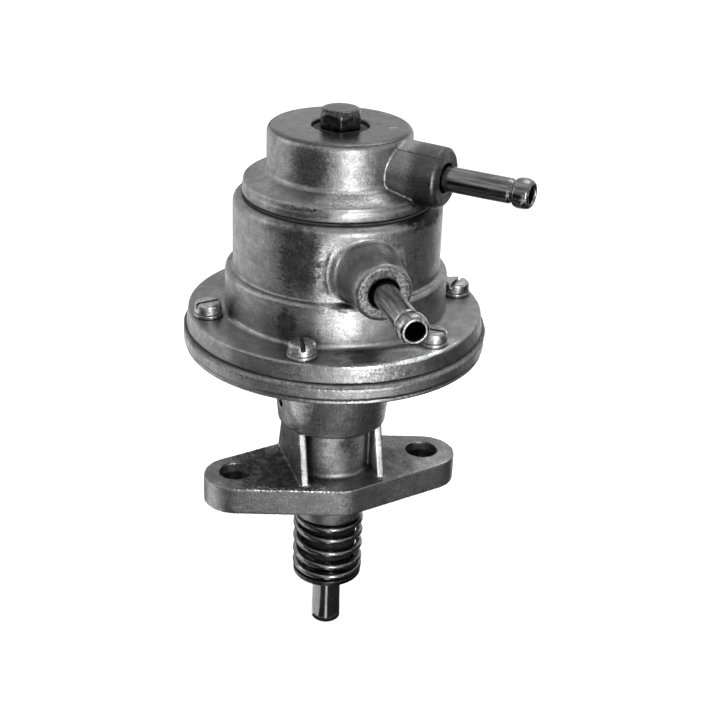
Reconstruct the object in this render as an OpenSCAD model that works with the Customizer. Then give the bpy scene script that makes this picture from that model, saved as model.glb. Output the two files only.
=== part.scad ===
// Mechanical fuel pump: a diaphragm pump driven by a plunger that an engine cam lifts.
// Lengths are millimetres. The origin is the middle of the mounting face, on the pump's
// axis. +Z points up to the cover, and +X runs along the two mounting holes.
// It is drawn at rest, with the plunger fully out and the diaphragm pulled down.

/* [Mounting flange] */
// Distance between the two mounting holes
mount_spacing = 52.7; // [50:0.1:58]
// Diameter of a mounting hole
mount_hole_d = 8.8; // [8:0.1:9.6]
// Thickness of the mounting flange
mount_t = 7.5; // [6.5:0.1:9]
// Radius of the flange's two ends
mount_end_r = 8.8; // [8:0.1:10]
// Width of the flange across its middle
mount_mid_w = 33; // [32:0.1:36]
// Radius of the flange's two middle corners
mount_corner_r = 8; // [5:0.5:10]
// How far the flange's outline stands out to the outlet's side of its holes
mount_offset = 1; // [0:0.1:1.5]
// Diameter of the pilot that enters the engine
pilot_d = 18.8; // [18.2:0.1:20]
// Length of the pilot
pilot_len = 8.2; // [7:0.1:9]

/* [Lower body] */
// Diameter of the waist on the mounting flange
waist_d = 20.6; // [20:0.1:22]
// Height of the waist
waist_h = 14; // [12:0.5:17]
// Diameter of the neck at its foot
neck_foot_d = 28.9; // [28:0.1:31]
// Diameter of the neck under the clamping flange
neck_top_d = 33.2; // [32:0.1:36]
// Height of the neck
neck_h = 22.4; // [22:0.1:26]
// Thickness of the neck's floor, which holds the oil seal
neck_floor_t = 6.5; // [6:0.1:8]
// Wall of the neck at its foot, round the delivery spring
neck_wall = 2.95; // [2.4:0.05:3.4]
// Distance between the two side ribs
rib_gap = 18.8; // [17:0.1:19.5]
// Thickness of a side rib
rib_t = 2.1; // [1.5:0.1:2.6]
// Depth of a side rib at its foot
rib_depth = 25.6; // [24:0.1:26.4]
// Diameter of the vent in the neck
vent_d = 3.2; // [2.5:0.1:4]
// Height of the vent above the neck's foot
vent_h = 6.5; // [6.5:0.5:11]
// Distance from the circle of screws to the lower flange's edge
flange_rim = 5.7; // [5:0.1:6.5]
// Thickness of the lower clamping flange
lower_flange_t = 4.4; // [4:0.1:5]
// Wall of the bowl under the diaphragm
bowl_wall = 2.5; // [2:0.1:3.5]

/* [Diaphragm] */
// How far the diaphragm's edge stands out of the lower flange
diaphragm_over = 0.3; // [0:0.05:0.8]
// Thickness of the diaphragm
diaphragm_t = 1; // [0.8:0.05:1.4]
// Distance from the circle of screws in to the part that is free to move
clamp_w = 4; // [3.5:0.1:4.5]
// How far the middle hangs below the clamped rim at rest
dish = 2; // [1.5:0.1:2.5]
// Travel of the plunger and of the diaphragm
stroke = 4; // [3:0.1:4.5]
// Width of the free part round the plates that grip the diaphragm
roll_w = 10.5; // [9.5:0.1:11.5]
// Thickness of a plate
plate_t = 1.2; // [1:0.1:1.5]
// Diameter of the pull rod
rod_d = 4.8; // [4.4:0.1:5]
// Height of the nut on the rod
nut_h = 3.2; // [2.8:0.1:3.6]
// Width across the nut's flats
nut_af = 7; // [6.6:0.1:7.2]

/* [Upper body] */
// How far the upper flange's edge stands back from the lower one's
flange_set_in = 0.7; // [0.3:0.05:1.2]
// Thickness of the upper clamping flange
upper_flange_t = 4.7; // [4.2:0.05:5.5]
// Room between the screw heads and the step on the flange
screw_room = 1.45; // [1:0.05:2]
// Height of the step
step_h = 11.2; // [10.5:0.1:13]
// Width of the step round the drum
step_w = 2; // [1.9:0.05:2.2]
// Height of the drum above the step
drum_h = 18.9; // [18:0.1:22]
// Rounding of the drum's top edge
drum_edge_r = 2; // [1:0.1:2]
// Wall of the drum round the inlet chamber
drum_wall = 4.95; // [4.6:0.05:5.3]
// Thickness of the wall between inlet and pumping chambers
deck_t = 7.5; // [7.3:0.1:8.5]
// Wall of the post that takes the cover bolt
post_wall = 2.5; // [2:0.1:3.2]
// Wall of the tower over the outlet valve
tower_wall = 2.2; // [1.9:0.1:2.6]

/* [Cover] */
// How far the cover's rim stands back from the drum
rim_set_in = 2.3; // [2:0.05:2.6]
// Height of the rim's edge
rim_h = 3.95; // [3.5:0.05:5]
// Rise of the sloping shoulder from the rim to the dome
shoulder_h = 1.5; // [1:0.1:2.5]
// Width of the shoulder between the rim and the dome
shoulder_w = 6.05; // [5.6:0.05:6.6]
// Height of the cover from its seat to the top of the dome
cover_h = 17.35; // [17:0.05:20]
// Wall of the cover
cover_wall = 2.6; // [2.2:0.1:3]
// Rounding of the dome's top edge
dome_edge_r = 1.8; // [1:0.1:2.2]
// Room round the sealing washer in the cover's recess
recess_room = 0.9; // [0.6:0.1:1.5]
// Depth of the recess
recess_deep = 1.6; // [1:0.1:2]
// Thickness of the cover's gasket
gasket_t = 0.5; // [0.4:0.05:1]
// Thickness of the strainer's frame
strainer_t = 1.7; // [1.2:0.1:2]
// Distance between the strainer's wires
gauze_pitch = 3; // [2.5:0.5:4]

/* [Hose stubs] */
// Outer diameter of a stub's tube
tube_d = 6.2; // [6:0.1:6.4]
// Wall of a stub's tube
tube_wall = 0.85; // [0.7:0.05:1.1]
// Height of the bead round a stub's end
bead_rise = 0.65; // [0.4:0.05:0.8]
// Length of the bead
bead_len = 5; // [4:0.1:6]
// Length of tube that is pressed into the boss
tube_press = 9.5; // [8:0.1:10]
// Height of the inlet stub above the cover's seat
inlet_h = 8.85; // [8.6:0.05:9.6]
// Direction of the inlet stub, seen from above
inlet_angle = -45; // [-60:5:-30]
// Diameter of the inlet boss
inlet_boss_d = 14.8; // [14:0.1:15]
// Length of the inlet boss beyond the dome
inlet_boss_len = 11.1; // [10.5:0.1:12]
// Length of the inlet stub out of its boss
inlet_tube_len = 22.3; // [20:0.1:27]
// Height of the outlet stub above the step
outlet_h = 7.5; // [7:0.1:9]
// Diameter of the outlet boss at its face
outlet_boss_d = 14.1; // [13.4:0.1:15]
// Diameter of the outlet boss at the drum
outlet_root_d = 16.4; // [15.5:0.1:18]
// Length of the outlet boss beyond the drum
outlet_boss_len = 12.65; // [11.5:0.05:14]
// Length of the outlet stub out of its boss
outlet_tube_len = 22.1; // [20:0.1:27]

/* [Fasteners] */
// Diameter of the circle of flange screws
screw_pcd = 67; // [66:0.1:68]
// Diameter of a flange screw
screw_d = 4; // [3.6:0.1:4.4]
// Diameter of a screw's head
screw_head_d = 7; // [6.6:0.1:7.4]
// Height of a screw's head
screw_head_h = 2.8; // [2.4:0.1:3.2]
// Length of a screw under its head
screw_len = 10; // [8:0.5:12]
// Width of a screw's slot
slot_w = 1.1; // [0.9:0.1:1.4]
// Depth of a screw's slot
slot_deep = 1.3; // [1:0.1:1.6]
// How far a spring washer stands out round its screw head
washer_over = 0.2; // [0.1:0.05:0.4]
// Thickness of a spring washer
washer_t = 0.9; // [0.7:0.1:1.2]
// Diameter of the cover bolt
bolt_d = 6; // [5.6:0.1:6.4]
// Width across the flats of the bolt's head
bolt_af = 10; // [9.4:0.1:10.8]
// Height of the bolt's head
bolt_head_h = 4.9; // [4:0.1:5.2]
// Length of the bolt under its head
bolt_len = 30; // [27:0.5:32]
// Diameter of the sealing washer under the bolt's head
seal_washer_d = 12.6; // [12:0.1:13]
// Thickness of the sealing washer
seal_washer_t = 1; // [0.8:0.1:1.4]

/* [Valves] */
// Diameter of a valve's cage
valve_d = 15; // [14.6:0.1:15.2]
// Distance from the pump's axis to a valve's axis
valve_offset = 13; // [12.9:0.05:13.2]
// Width of the fuel way round a valve's disc
disc_room = 1.1; // [0.8:0.1:1.5]
// Thickness of a valve's disc
valve_disc_t = 1.2; // [1:0.1:1.4]
// Lift of a valve's disc
valve_lift = 1.2; // [1:0.1:1.4]

/* [Plunger and springs] */
// Diameter of the plunger
plunger_d = 8; // [7.6:0.1:8.4]
// Distance from the mounting face to the plunger's tip
plunger_out = 43.55; // [40:0.05:48]
// Wall of the guide bush
bush_wall = 1.5; // [1.3:0.1:1.9]
// Outer diameter of the return spring
spring_d = 19.5; // [19:0.1:20]
// Wire diameter of the return spring
spring_wire = 1.9; // [1.6:0.05:1.9]
// Length of the return spring at rest
spring_len = 17.8; // [17.8:0.1:21]
// Turns of the return spring
spring_turns = 4.87; // [4.5:0.01:4.87]
// How far the spring seat's edge stands back from the spring's
seat_set_in = 0.2; // [0:0.05:0.5]
// Thickness of the spring seat's edge
seat_t = 1.6; // [1.4:0.1:2]
// Room between the nose sleeve and the return spring round it
nose_room = 0.15; // [0.15:0.05:0.6]
// Room between the delivery spring and the neck's bore
delivery_room = 2.2; // [1.6:0.1:2.6]
// Wire diameter of the delivery spring
delivery_wire = 1.6; // [1.4:0.1:1.8]
// Turns of the delivery spring
delivery_turns = 4.5; // [4:0.25:5]

/* [Hidden] */
$fn = 72;

// Colours of the real materials
casting = [0.56, 0.57, 0.58];
bright_steel = [0.74, 0.75, 0.77];
dark_steel = [0.28, 0.28, 0.29];
bronze = [0.66, 0.50, 0.30];
rubber = [0.10, 0.10, 0.10];
fibre = [0.30, 0.22, 0.17];

// Clearances. A running fit turns or slides; a free gap keeps bodies apart.
running = 0.03;
free_gap = 0.3;
thread_play = 0.02;
// Overlap of two shapes that are joined into one casting
weld = 0.4;

// Diameters that follow from the circle of screws and from the walls round them
lower_flange_d = screw_pcd + 2 * flange_rim;
upper_flange_d = lower_flange_d - 2 * flange_set_in;
diaphragm_d = lower_flange_d + 2 * diaphragm_over;
free_d = screw_pcd - 2 * clamp_w;
plate_d = free_d - 2 * roll_w;
step_d = screw_pcd - screw_head_d - 2 * screw_room;
drum_d = step_d - 2 * step_w;
chamber_d = drum_d - 2 * drum_wall;
rim_d = drum_d - 2 * rim_set_in;
dome_d = rim_d - 2 * shoulder_w;
recess_d = seal_washer_d + 2 * recess_room;
post_d = bolt_d + 2 * post_wall;
neck_bore_d = neck_foot_d - 2 * neck_wall;
washer_d = screw_head_d + 2 * washer_over;
bush_d = plunger_d + 2 * bush_wall;
seat_d = spring_d - 2 * seat_set_in;
nose_d = spring_d - 2 * spring_wire - 2 * nose_room;
delivery_d = neck_bore_d - 2 * delivery_room;

// Heights of the stack, from the mounting face up
neck_foot_z = mount_t + waist_h;
neck_floor_z = neck_foot_z + neck_floor_t;
lower_flange_z = neck_foot_z + neck_h;
clamp_z = lower_flange_z + lower_flange_t;
upper_z = clamp_z + diaphragm_t;
flange_top_z = upper_z + upper_flange_t;
step_z = flange_top_z + step_h;
drum_top_z = step_z + drum_h;
cover_z = drum_top_z + gasket_t;
cover_top_z = cover_z + cover_h;
rim_top_z = cover_z + rim_h;
inlet_z = cover_z + inlet_h;
outlet_z = step_z + outlet_h;

// The diaphragm's middle at rest, and the room that it needs
mid_low_z = clamp_z - dish;
mid_top_z = mid_low_z + diaphragm_t;
plate_gap = 0.6;
plate_low_z = mid_low_z - plate_t;
bowl_z = plate_low_z - plate_gap;
plate_top_z = mid_top_z + plate_t;
roof_z = plate_top_z + stroke + plate_gap;
nut_room_z = plate_top_z + nut_h + stroke + plate_gap;
deck_z = roof_z + deck_t;
upper_plate_d = plate_d - 2;
plate_lip = 0.8;

// The valves, pressed into the deck from below
valve_z = roof_z;
valve_wall = 0.9;
valve_disc_d = valve_d - 2 * valve_wall - 2 * disc_room;
valve_plate_t = 1.3;
valve_bridge_t = 1.1;
valve_shut_spring = 1.7;
valve_h = valve_plate_t + valve_disc_t + valve_lift + valve_shut_spring + valve_bridge_t;
valve_port_d = 2.2;
valve_pin_d = 2;
valve_stop_d = valve_d - 2.4;
tower_d = valve_stop_d + 2 * tower_wall;
valve_spring_d = 5.6;
valve_wire = 0.5;

// The drive, from the neck's floor down
seal_d = plunger_d + 8;
seal_h = neck_floor_t - 1.5;
retainer_t = 1;
delivery_z = neck_floor_z + retainer_t;
bush_top_z = neck_floor_z - seal_h;
spigot_len = 5;
spigot_d = nose_d - 0.8;
bush_low_z = spigot_len - pilot_len;
seat_z = -pilot_len - spring_len;
clip_t = 1;
clip_d = plunger_d + 3.6;
clip_room = 1.3;
groove_deep = 0.5;

// The spring seat's collar slides in the nose sleeve and keeps dirt off the plunger
web_t = 1;
seat_web_z = seat_z - seat_t + clip_room;
nose_gap = 0.5;
nose_wall = 0.8;
nose_low_z = seat_web_z + web_t + stroke + nose_gap;
collar_d = nose_d - 2 * nose_wall - 2 * free_gap;
collar_lap = 2.5;
collar_top_z = nose_low_z + collar_lap;
guard_deep = collar_lap + stroke + nose_gap;

// The pin joint between plunger and rod. Its slot lets the cam lift the plunger alone.
link_d = 2.4;
link_z = plate_low_z - 8.8;
plunger_top_z = link_z + 4;
rod_low_z = link_z - 2;
link_bore_d = rod_d + 0.4;
slot_top_z = link_z + link_d / 2 + running;
slot_low_z = link_z - link_d / 2 - stroke - free_gap;
link_floor_z = rod_low_z - stroke - 1;

// The ports
tube_bore_d = tube_d - 2 * tube_wall;
tube_press_d = tube_d - 0.1;
bead_d = tube_d + 2 * bead_rise;
inlet_reach = dome_d / 2 + inlet_boss_len;
inlet_tip = inlet_reach + inlet_tube_len;
outlet_reach = drum_d / 2 + outlet_boss_len;
outlet_tip = outlet_reach + outlet_tube_len;
inlet_dir = [0, 0, inlet_angle];
outlet_dir = [0, 0, -90];
boss_mouth_d = tube_d + 1.2;
boss_mouth_deep = 2;
outlet_flare_r = 2.2;
outlet_bore_low = valve_offset;
face_chamfer = 0.7;

// The cover's inside
dome_bore_d = dome_d - 2 * cover_wall;
rim_bore_d = rim_d - 2 * cover_wall;
lid_z = cover_top_z - 3;
boss_low_z = cover_top_z - recess_deep - 5;
ledge_d = chamber_d + 3;
bolt_seat_z = cover_top_z - recess_deep + seal_washer_t;
bolt_tip_z = bolt_seat_z - bolt_len;
gasket_bore_d = chamber_d - 1.4;

// How the bolt head, the vent and the start of the return spring stand, seen from above
bolt_turn = 13;
vent_dir = [0, 0, 186];
spring_start = -88;
// A spring washer's split points to the pump's axis
washer_split = [0, 0, 180];

// The screws. Slots stand as the photographed screws do.
screw_slots = [50, 20, 95, 14, 80, -39];
screw_count = len(screw_slots);
screw_hole_d = screw_d + 0.5;

// How far a cutting shape runs past the surface that it cuts
past = 1;

// Small roundings of the castings
fine_r = 0.5;
foot_r = 1.2;
flange_draft = 0.5;

// Points along an arc from angle a0 to angle a1
function arc(cx, cy, r, a0, a1, n = 6) =
    [for (i = [0:n]) let (a = a0 + (a1 - a0) * i / n) [cx + r * cos(a), cy + r * sin(a)]];

// Drop of a spring's centre line after t turns, with its ends laid flat over top and foot turns
function coil_pitch(turns, rise, top, foot) = rise / (turns - top / 2 - foot / 2);
function coil_share(t, turns, top, foot) =
    t < top ? t * t / (2 * top)
    : t > turns - foot ? t - top / 2 - pow(t - turns + foot, 2) / (2 * foot)
    : t - top / 2;

// A round wire wound right-handed, from z down over length
module coil(z, length, outer_d, wire, turns, top = 0.3, foot = 1.2, start = 0, sides = 8, rings = 20) {
    r = outer_d / 2 - wire / 2;
    rise = length - wire;
    pitch = coil_pitch(turns, rise, top, foot);
    count = ceil(turns * rings);
    points = [for (i = [0:count], j = [0:sides - 1])
        let (t = turns * i / count, a = start - 360 * t, b = 360 * j / sides)
        [(r + wire / 2 * cos(b)) * cos(a), (r + wire / 2 * cos(b)) * sin(a),
         z - wire / 2 - pitch * coil_share(t, turns, top, foot) + wire / 2 * sin(b)]];
    skin = [for (i = [0:count - 1], j = [0:sides - 1])
        let (k = (j + 1) % sides)
        [i * sides + j, i * sides + k, (i + 1) * sides + k, (i + 1) * sides + j]];
    ends = [[for (j = [sides - 1:-1:0]) j], [for (j = [0:sides - 1]) count * sides + j]];
    polyhedron(points, concat(skin, ends), convexity = 6);
}

// A flat ring
module ring(z, h, outer, inner) {
    translate([0, 0, z]) difference() {
        cylinder(d = outer, h = h);
        translate([0, 0, -1]) cylinder(d = inner, h = h + 2);
    }
}

// A cylinder that lies along +X, from a to b
module bar(a, b, d, d2 = 0) {
    translate([a, 0, 0]) rotate([0, 90, 0]) cylinder(d1 = d, d2 = d2 == 0 ? d : d2, h = b - a);
}

// What follows, once at each flange screw
module at_screws() {
    for (i = [0:screw_count - 1])
        rotate([0, 0, 360 * i / screw_count]) translate([screw_pcd / 2, 0, 0]) children();
}

// Outline of the mounting flange: two round ends joined to two middle corners
module mount_outline() {
    h = mount_spacing / 2;
    c = mount_mid_w / 2 - mount_corner_r;
    a = atan2(c, h) + asin((mount_corner_r - mount_end_r) / norm([h, c]));
    for (s = [-1, 1]) {
        translate([s * h, 0]) circle(r = mount_end_r);
        translate([0, s * c]) circle(r = mount_corner_r);
    }
    end = [h + mount_end_r * sin(a), mount_end_r * cos(a)];
    mid = [mount_corner_r * sin(a), c + mount_corner_r * cos(a)];
    polygon([end, mid, [-mid[0], mid[1]], [-end[0], end[1]],
             [-end[0], -end[1]], [-mid[0], -mid[1]], [mid[0], -mid[1]], [end[0], -end[1]]]);
}

// Outside of the lower body above its mounting flange, turned about the axis
module lower_turning() {
    wr = waist_d / 2;
    fr = neck_foot_d / 2;
    lr = lower_flange_d / 2;
    bowl_r = free_d / 2 - 7;
    bowl_foot_z = bowl_z - bowl_wall;
    lip_groove = 0.9;
    neck_draft = (neck_top_d - neck_foot_d) / 2 / neck_h;
    bowl_neck_r = fr + neck_draft * (bowl_foot_z - neck_foot_z);
    rotate_extrude() polygon(concat(
        [[0, mount_t - weld], [wr + foot_r, mount_t - weld]],
        arc(wr + foot_r, mount_t + foot_r, foot_r, 270, 180),
        [[wr, neck_foot_z], [fr - fine_r, neck_foot_z]],
        arc(fr - fine_r, neck_foot_z + fine_r, fine_r, 270, 360),
        [[bowl_neck_r, bowl_foot_z], [bowl_r, bowl_foot_z], [bowl_r + 9, lower_flange_z]],
        [[lr - 1, lower_flange_z], [lr - 0.3, lower_flange_z + 0.3], [lr - 0.3, lower_flange_z + 0.8],
         [lr - lip_groove, lower_flange_z + 1.1], [lr, lower_flange_z + 1.5], [lr, clamp_z], [0, clamp_z]]));
}

// Room inside the lower body: bowl, spring chamber, seal pocket, bush bore and spigot bore
module lower_room() {
    rotate_extrude() polygon([
        [0, -pilot_len - 1], [spigot_d / 2, -pilot_len - 1], [spigot_d / 2, bush_low_z],
        [bush_d / 2, bush_low_z], [bush_d / 2, bush_top_z], [seal_d / 2, bush_top_z],
        [seal_d / 2, neck_floor_z], [neck_bore_d / 2, neck_floor_z], [neck_bore_d / 2, bowl_z],
        [free_d / 2 - 7.5, bowl_z], [free_d / 2, clamp_z], [free_d / 2, clamp_z + 1], [0, clamp_z + 1]]);
}

// One of the two flat ribs that stand on the flange and run out into the neck
module side_rib(side) {
    top_z = neck_foot_z + 2;
    reach = sqrt(pow(neck_foot_d / 2, 2) - pow(rib_gap / 2 + rib_t, 2)) - fine_r;
    translate([side > 0 ? rib_gap / 2 : -rib_gap / 2 - rib_t, 0, 0])
        rotate([90, 0, 90]) linear_extrude(rib_t) polygon([
            [-rib_depth / 2, mount_t - weld], [rib_depth / 2, mount_t - weld],
            [reach, neck_foot_z], [reach - 1, top_z], [1 - reach, top_z], [-reach, neck_foot_z]]);
}

module lower_body() {
    color(casting) difference() {
        union() {
            translate([0, -mount_offset, 0]) linear_extrude(mount_t) mount_outline();
            translate([0, 0, -pilot_len]) {
                cylinder(d1 = pilot_d - 1, d2 = pilot_d, h = 0.5);
                translate([0, 0, 0.5]) cylinder(d = pilot_d, h = pilot_len);
            }
            lower_turning();
            for (side = [-1, 1]) side_rib(side);
        }
        lower_room();
        for (side = [-1, 1]) translate([side * mount_spacing / 2, 0, -1])
            cylinder(d = mount_hole_d, h = mount_t + 2);
        at_screws() translate([0, 0, lower_flange_z - past]) cylinder(d = screw_d, h = lower_flange_t + 2 * past);
        translate([0, 0, neck_foot_z + vent_h]) rotate(vent_dir)
            bar(neck_bore_d / 2 - 2, neck_top_d, vent_d);
    }
}

module guide_bush() {
    color(bronze) ring(bush_low_z, bush_top_z - bush_low_z, bush_d, plunger_d + 2 * running);
}

module nose_sleeve() {
    top_z = bush_low_z;
    color(rubber) difference() {
        union() {
            translate([0, 0, nose_low_z + fine_r]) cylinder(d = nose_d, h = -pilot_len - nose_low_z - fine_r);
            translate([0, 0, nose_low_z]) cylinder(d1 = nose_d - 2 * fine_r, d2 = nose_d, h = fine_r);
            translate([0, 0, -pilot_len - weld]) cylinder(d = spigot_d, h = spigot_len + weld);
        }
        translate([0, 0, nose_low_z - past]) cylinder(d = collar_d + 2 * free_gap, h = guard_deep + past);
        translate([0, 0, nose_low_z - past])
            cylinder(d = plunger_d + 2 * free_gap, h = top_z - nose_low_z + 2 * past);
    }
}

// Oil seal: a ring with one lip that wipes the plunger
module rod_seal() {
    lip_r = plunger_d / 2 + running;
    outer_r = seal_d / 2;
    top_z = bush_top_z + seal_h;
    wall = (outer_r - lip_r) * 0.3;
    floor_z = bush_top_z + seal_h * 0.36;
    color(rubber) rotate_extrude() polygon([
        [lip_r + wall * 0.8, bush_top_z], [outer_r, bush_top_z], [outer_r, top_z], [outer_r - wall, top_z],
        [outer_r - wall * 1.3, floor_z], [lip_r + wall, floor_z], [lip_r + wall / 2, top_z - seal_h * 0.16],
        [lip_r, top_z - seal_h * 0.22], [lip_r, top_z - seal_h * 0.3]]);
}

module seal_retainer() {
    color(bright_steel) ring(neck_floor_z, retainer_t, neck_bore_d - 0.6, plunger_d + 2 * free_gap);
}

module delivery_spring() {
    color(bright_steel) coil(plate_low_z - 0.02, plate_low_z - delivery_z - 0.04, delivery_d, delivery_wire,
                             delivery_turns, top = 1, foot = 1, rings = 18);
}

module plunger() {
    tip_z = -plunger_out;
    clip_z = seat_web_z - clip_t;
    color(bright_steel) difference() {
        union() {
            translate([0, 0, tip_z]) cylinder(d1 = plunger_d - 1, d2 = plunger_d, h = 0.5);
            translate([0, 0, tip_z + 0.5]) cylinder(d = plunger_d, h = plunger_top_z - tip_z - 1);
            translate([0, 0, plunger_top_z - 0.5]) cylinder(d1 = plunger_d, d2 = plunger_d - 1, h = 0.5);
        }
        translate([0, 0, link_floor_z]) cylinder(d = link_bore_d, h = plunger_top_z - link_floor_z + 1);
        for (z = [slot_low_z + link_d / 2 + running, slot_top_z - link_d / 2 - running])
            translate([0, 0, z]) bar(-plunger_d, plunger_d, link_d + 2 * running);
        translate([-plunger_d, -link_d / 2 - running, slot_low_z + link_d / 2])
            cube([2 * plunger_d, link_d + 2 * running, slot_top_z - slot_low_z - link_d]);
        ring(clip_z, clip_t, plunger_d + 2, plunger_d - 2 * groove_deep);
    }
}

// Return spring, wound left-handed, so a right-handed coil is mirrored
module plunger_spring() {
    color(bright_steel) mirror([0, 1, 0])
        coil(-pilot_len, spring_len, spring_d, spring_wire, spring_turns, top = 1.1, foot = 1.1,
             start = spring_start, rings = 24);
}

// Seat under the return spring, hollowed below for the clip, with a collar round the plunger
module spring_seat() {
    r = seat_d / 2;
    hollow_r = clip_d / 2 + 0.8;
    bore_r = plunger_d / 2 + running;
    collar_r = collar_d / 2;
    edge_r = 0.6;
    low_z = seat_z - seat_t;
    color(dark_steel) rotate_extrude() polygon(concat(
        [[bore_r, seat_web_z], [hollow_r, seat_web_z], [hollow_r + 0.4, low_z]],
        arc(r - edge_r, low_z + edge_r, edge_r, 270, 360),
        [[r, seat_z], [hollow_r + 1.1, seat_z], [hollow_r + 0.5, seat_web_z + web_t],
         [collar_r, seat_web_z + web_t], [collar_r, collar_top_z - fine_r], [collar_r - fine_r, collar_top_z],
         [bore_r, collar_top_z]]));
}

// Open spring ring in the plunger's groove
module seat_clip() {
    clip_z = seat_web_z - clip_t;
    color(dark_steel) difference() {
        ring(clip_z, clip_t, clip_d, plunger_d - 2 * groove_deep);
        translate([0, -1.5, clip_z - 1]) cube([clip_d, 3, clip_t + 2]);
    }
}

module link_pin() {
    length = plunger_d - 0.6;
    color(bright_steel) translate([0, 0, link_z]) bar(-length / 2, length / 2, link_d);
}

module diaphragm_rod() {
    foot_h = rod_d * 0.3;
    foot_d = rod_d * 1.66;
    top_z = plate_top_z + nut_h * 1.12;
    color(bright_steel) difference() {
        union() {
            translate([0, 0, rod_low_z]) cylinder(d = rod_d, h = top_z - rod_low_z);
            translate([0, 0, plate_low_z - foot_h]) cylinder(d = foot_d, h = foot_h);
        }
        translate([0, 0, link_z]) bar(-rod_d, rod_d, link_d);
    }
}

// Dished plate under the diaphragm, which the delivery spring pushes up
module lower_plate() {
    r = plate_d / 2;
    color(bright_steel) rotate_extrude() polygon([
        [rod_d / 2, plate_low_z], [r - plate_lip, plate_low_z], [r, plate_low_z + plate_lip / 2],
        [r, plate_low_z + plate_t - 0.3], [r - 0.3, plate_low_z + plate_t], [rod_d / 2, plate_low_z + plate_t]]);
}

// Plate on the fuel side, with its edge turned up
module upper_plate() {
    r = upper_plate_d / 2;
    color(bright_steel) rotate_extrude() polygon([
        [rod_d / 2, mid_top_z], [r - 0.3, mid_top_z], [r, mid_top_z + 0.3],
        [r, mid_top_z + plate_t / 2], [r - plate_lip, mid_top_z + plate_t], [rod_d / 2, mid_top_z + plate_t]]);
}

module diaphragm() {
    edge_r = diaphragm_d / 2;
    grip_r = plate_d / 2 + 1;
    hole_r = rod_d / 2 + free_gap;
    color(rubber) difference() {
        rotate_extrude() polygon([
            [hole_r, mid_low_z], [grip_r, mid_low_z], [free_d / 2 - 1, clamp_z], [edge_r, clamp_z],
            [edge_r, upper_z], [free_d / 2 - 1, upper_z], [grip_r, mid_top_z], [hole_r, mid_top_z]]);
        at_screws() translate([0, 0, clamp_z - past]) cylinder(d = screw_hole_d, h = diaphragm_t + 2 * past);
    }
}

module diaphragm_nut() {
    bevel = 4;
    color(bright_steel) translate([0, 0, plate_top_z]) difference() {
        intersection() {
            cylinder(d = nut_af / cos(30), h = nut_h, $fn = 6);
            cylinder(d1 = nut_af + bevel, d2 = nut_af - 1, h = nut_h);
        }
        translate([0, 0, -1]) cylinder(d = rod_d, h = nut_h + 2);
    }
}

// Outside of the upper body, turned about the axis
module upper_turning() {
    fr = upper_flange_d / 2;
    sr = step_d / 2;
    dr = drum_d / 2;
    step_round = min(1.2, sr - dr - 0.7);
    rotate_extrude() polygon(concat(
        [[0, upper_z], [fr, upper_z], [fr - flange_draft, flange_top_z - fine_r]],
        arc(fr - flange_draft - fine_r, flange_top_z - fine_r, fine_r, 0, 90),
        arc(sr + foot_r, flange_top_z + foot_r, foot_r, 270, 180),
        arc(sr - step_round, step_z - step_round, step_round, 0, 90),
        arc(dr + 0.5, step_z + 0.5, 0.5, 270, 180),
        arc(dr - drum_edge_r, drum_top_z - drum_edge_r, drum_edge_r, 0, 90),
        [[0, drum_top_z]]));
}

// Boss of the outlet stub, flared where it leaves the drum
module outlet_boss() {
    root_r = outlet_root_d / 2;
    face_r = outlet_boss_d / 2;
    flare_x = drum_d / 2 - 1.4 + outlet_flare_r;
    translate([0, 0, outlet_z]) rotate(outlet_dir) rotate([0, 90, 0]) rotate_extrude() polygon(concat(
        [[0, outlet_bore_low], [root_r + outlet_flare_r, outlet_bore_low]],
        arc(root_r + outlet_flare_r, flare_x, outlet_flare_r, 270, 180),
        [[face_r, outlet_reach - face_chamfer], [face_r - face_chamfer, outlet_reach], [0, outlet_reach]]));
}

// Hole of a stub in its boss: mouth, press seat and fuel way, along +X
module stub_hole(reach, inner) {
    seat_x = reach - tube_press;
    bar(reach - boss_mouth_deep, reach + 1, boss_mouth_d);
    bar(seat_x, reach + 1, tube_press_d);
    bar(inner, reach, tube_bore_d);
}

module upper_body() {
    color(casting) difference() {
        union() {
            difference() {
                union() {
                    upper_turning();
                    outlet_boss();
                }
                translate([0, 0, deck_z]) {
                    cylinder(d = chamber_d, h = drum_top_z);
                    translate([0, 0, drum_top_z - deck_z - strainer_t]) cylinder(d = ledge_d, h = drum_top_z);
                }
            }
            translate([0, 0, deck_z - weld]) cylinder(d = post_d, h = drum_top_z - strainer_t - deck_z + weld);
            outlet_tower();
        }
        rotate_extrude() polygon([[0, upper_z - 1], [free_d / 2, upper_z - 1], [free_d / 2, upper_z],
                                  [valve_offset + valve_d / 2 + 1, roof_z], [0, roof_z]]);
        translate([0, 0, upper_z]) cylinder(d = nut_af / cos(30) + 1, h = nut_room_z - upper_z);
        for (side = [-1, 1]) translate([0, side * valve_offset, roof_z - 1]) {
            cylinder(d = valve_d, h = valve_h + 1);
            cylinder(d = valve_stop_d, h = deck_t + 2);
        }
        translate([0, -valve_offset, roof_z]) cylinder(d = valve_stop_d, h = outlet_z - roof_z + 5);
        translate([0, 0, outlet_z]) rotate(outlet_dir) stub_hole(outlet_reach, valve_offset);
        translate([0, 0, bolt_tip_z - 1.5]) cylinder(d = bolt_d, h = drum_top_z - bolt_tip_z + 2);
        at_screws() translate([0, 0, upper_z - past])
            cylinder(d = screw_hole_d, h = upper_flange_t + 2 * past);
    }
}

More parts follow.
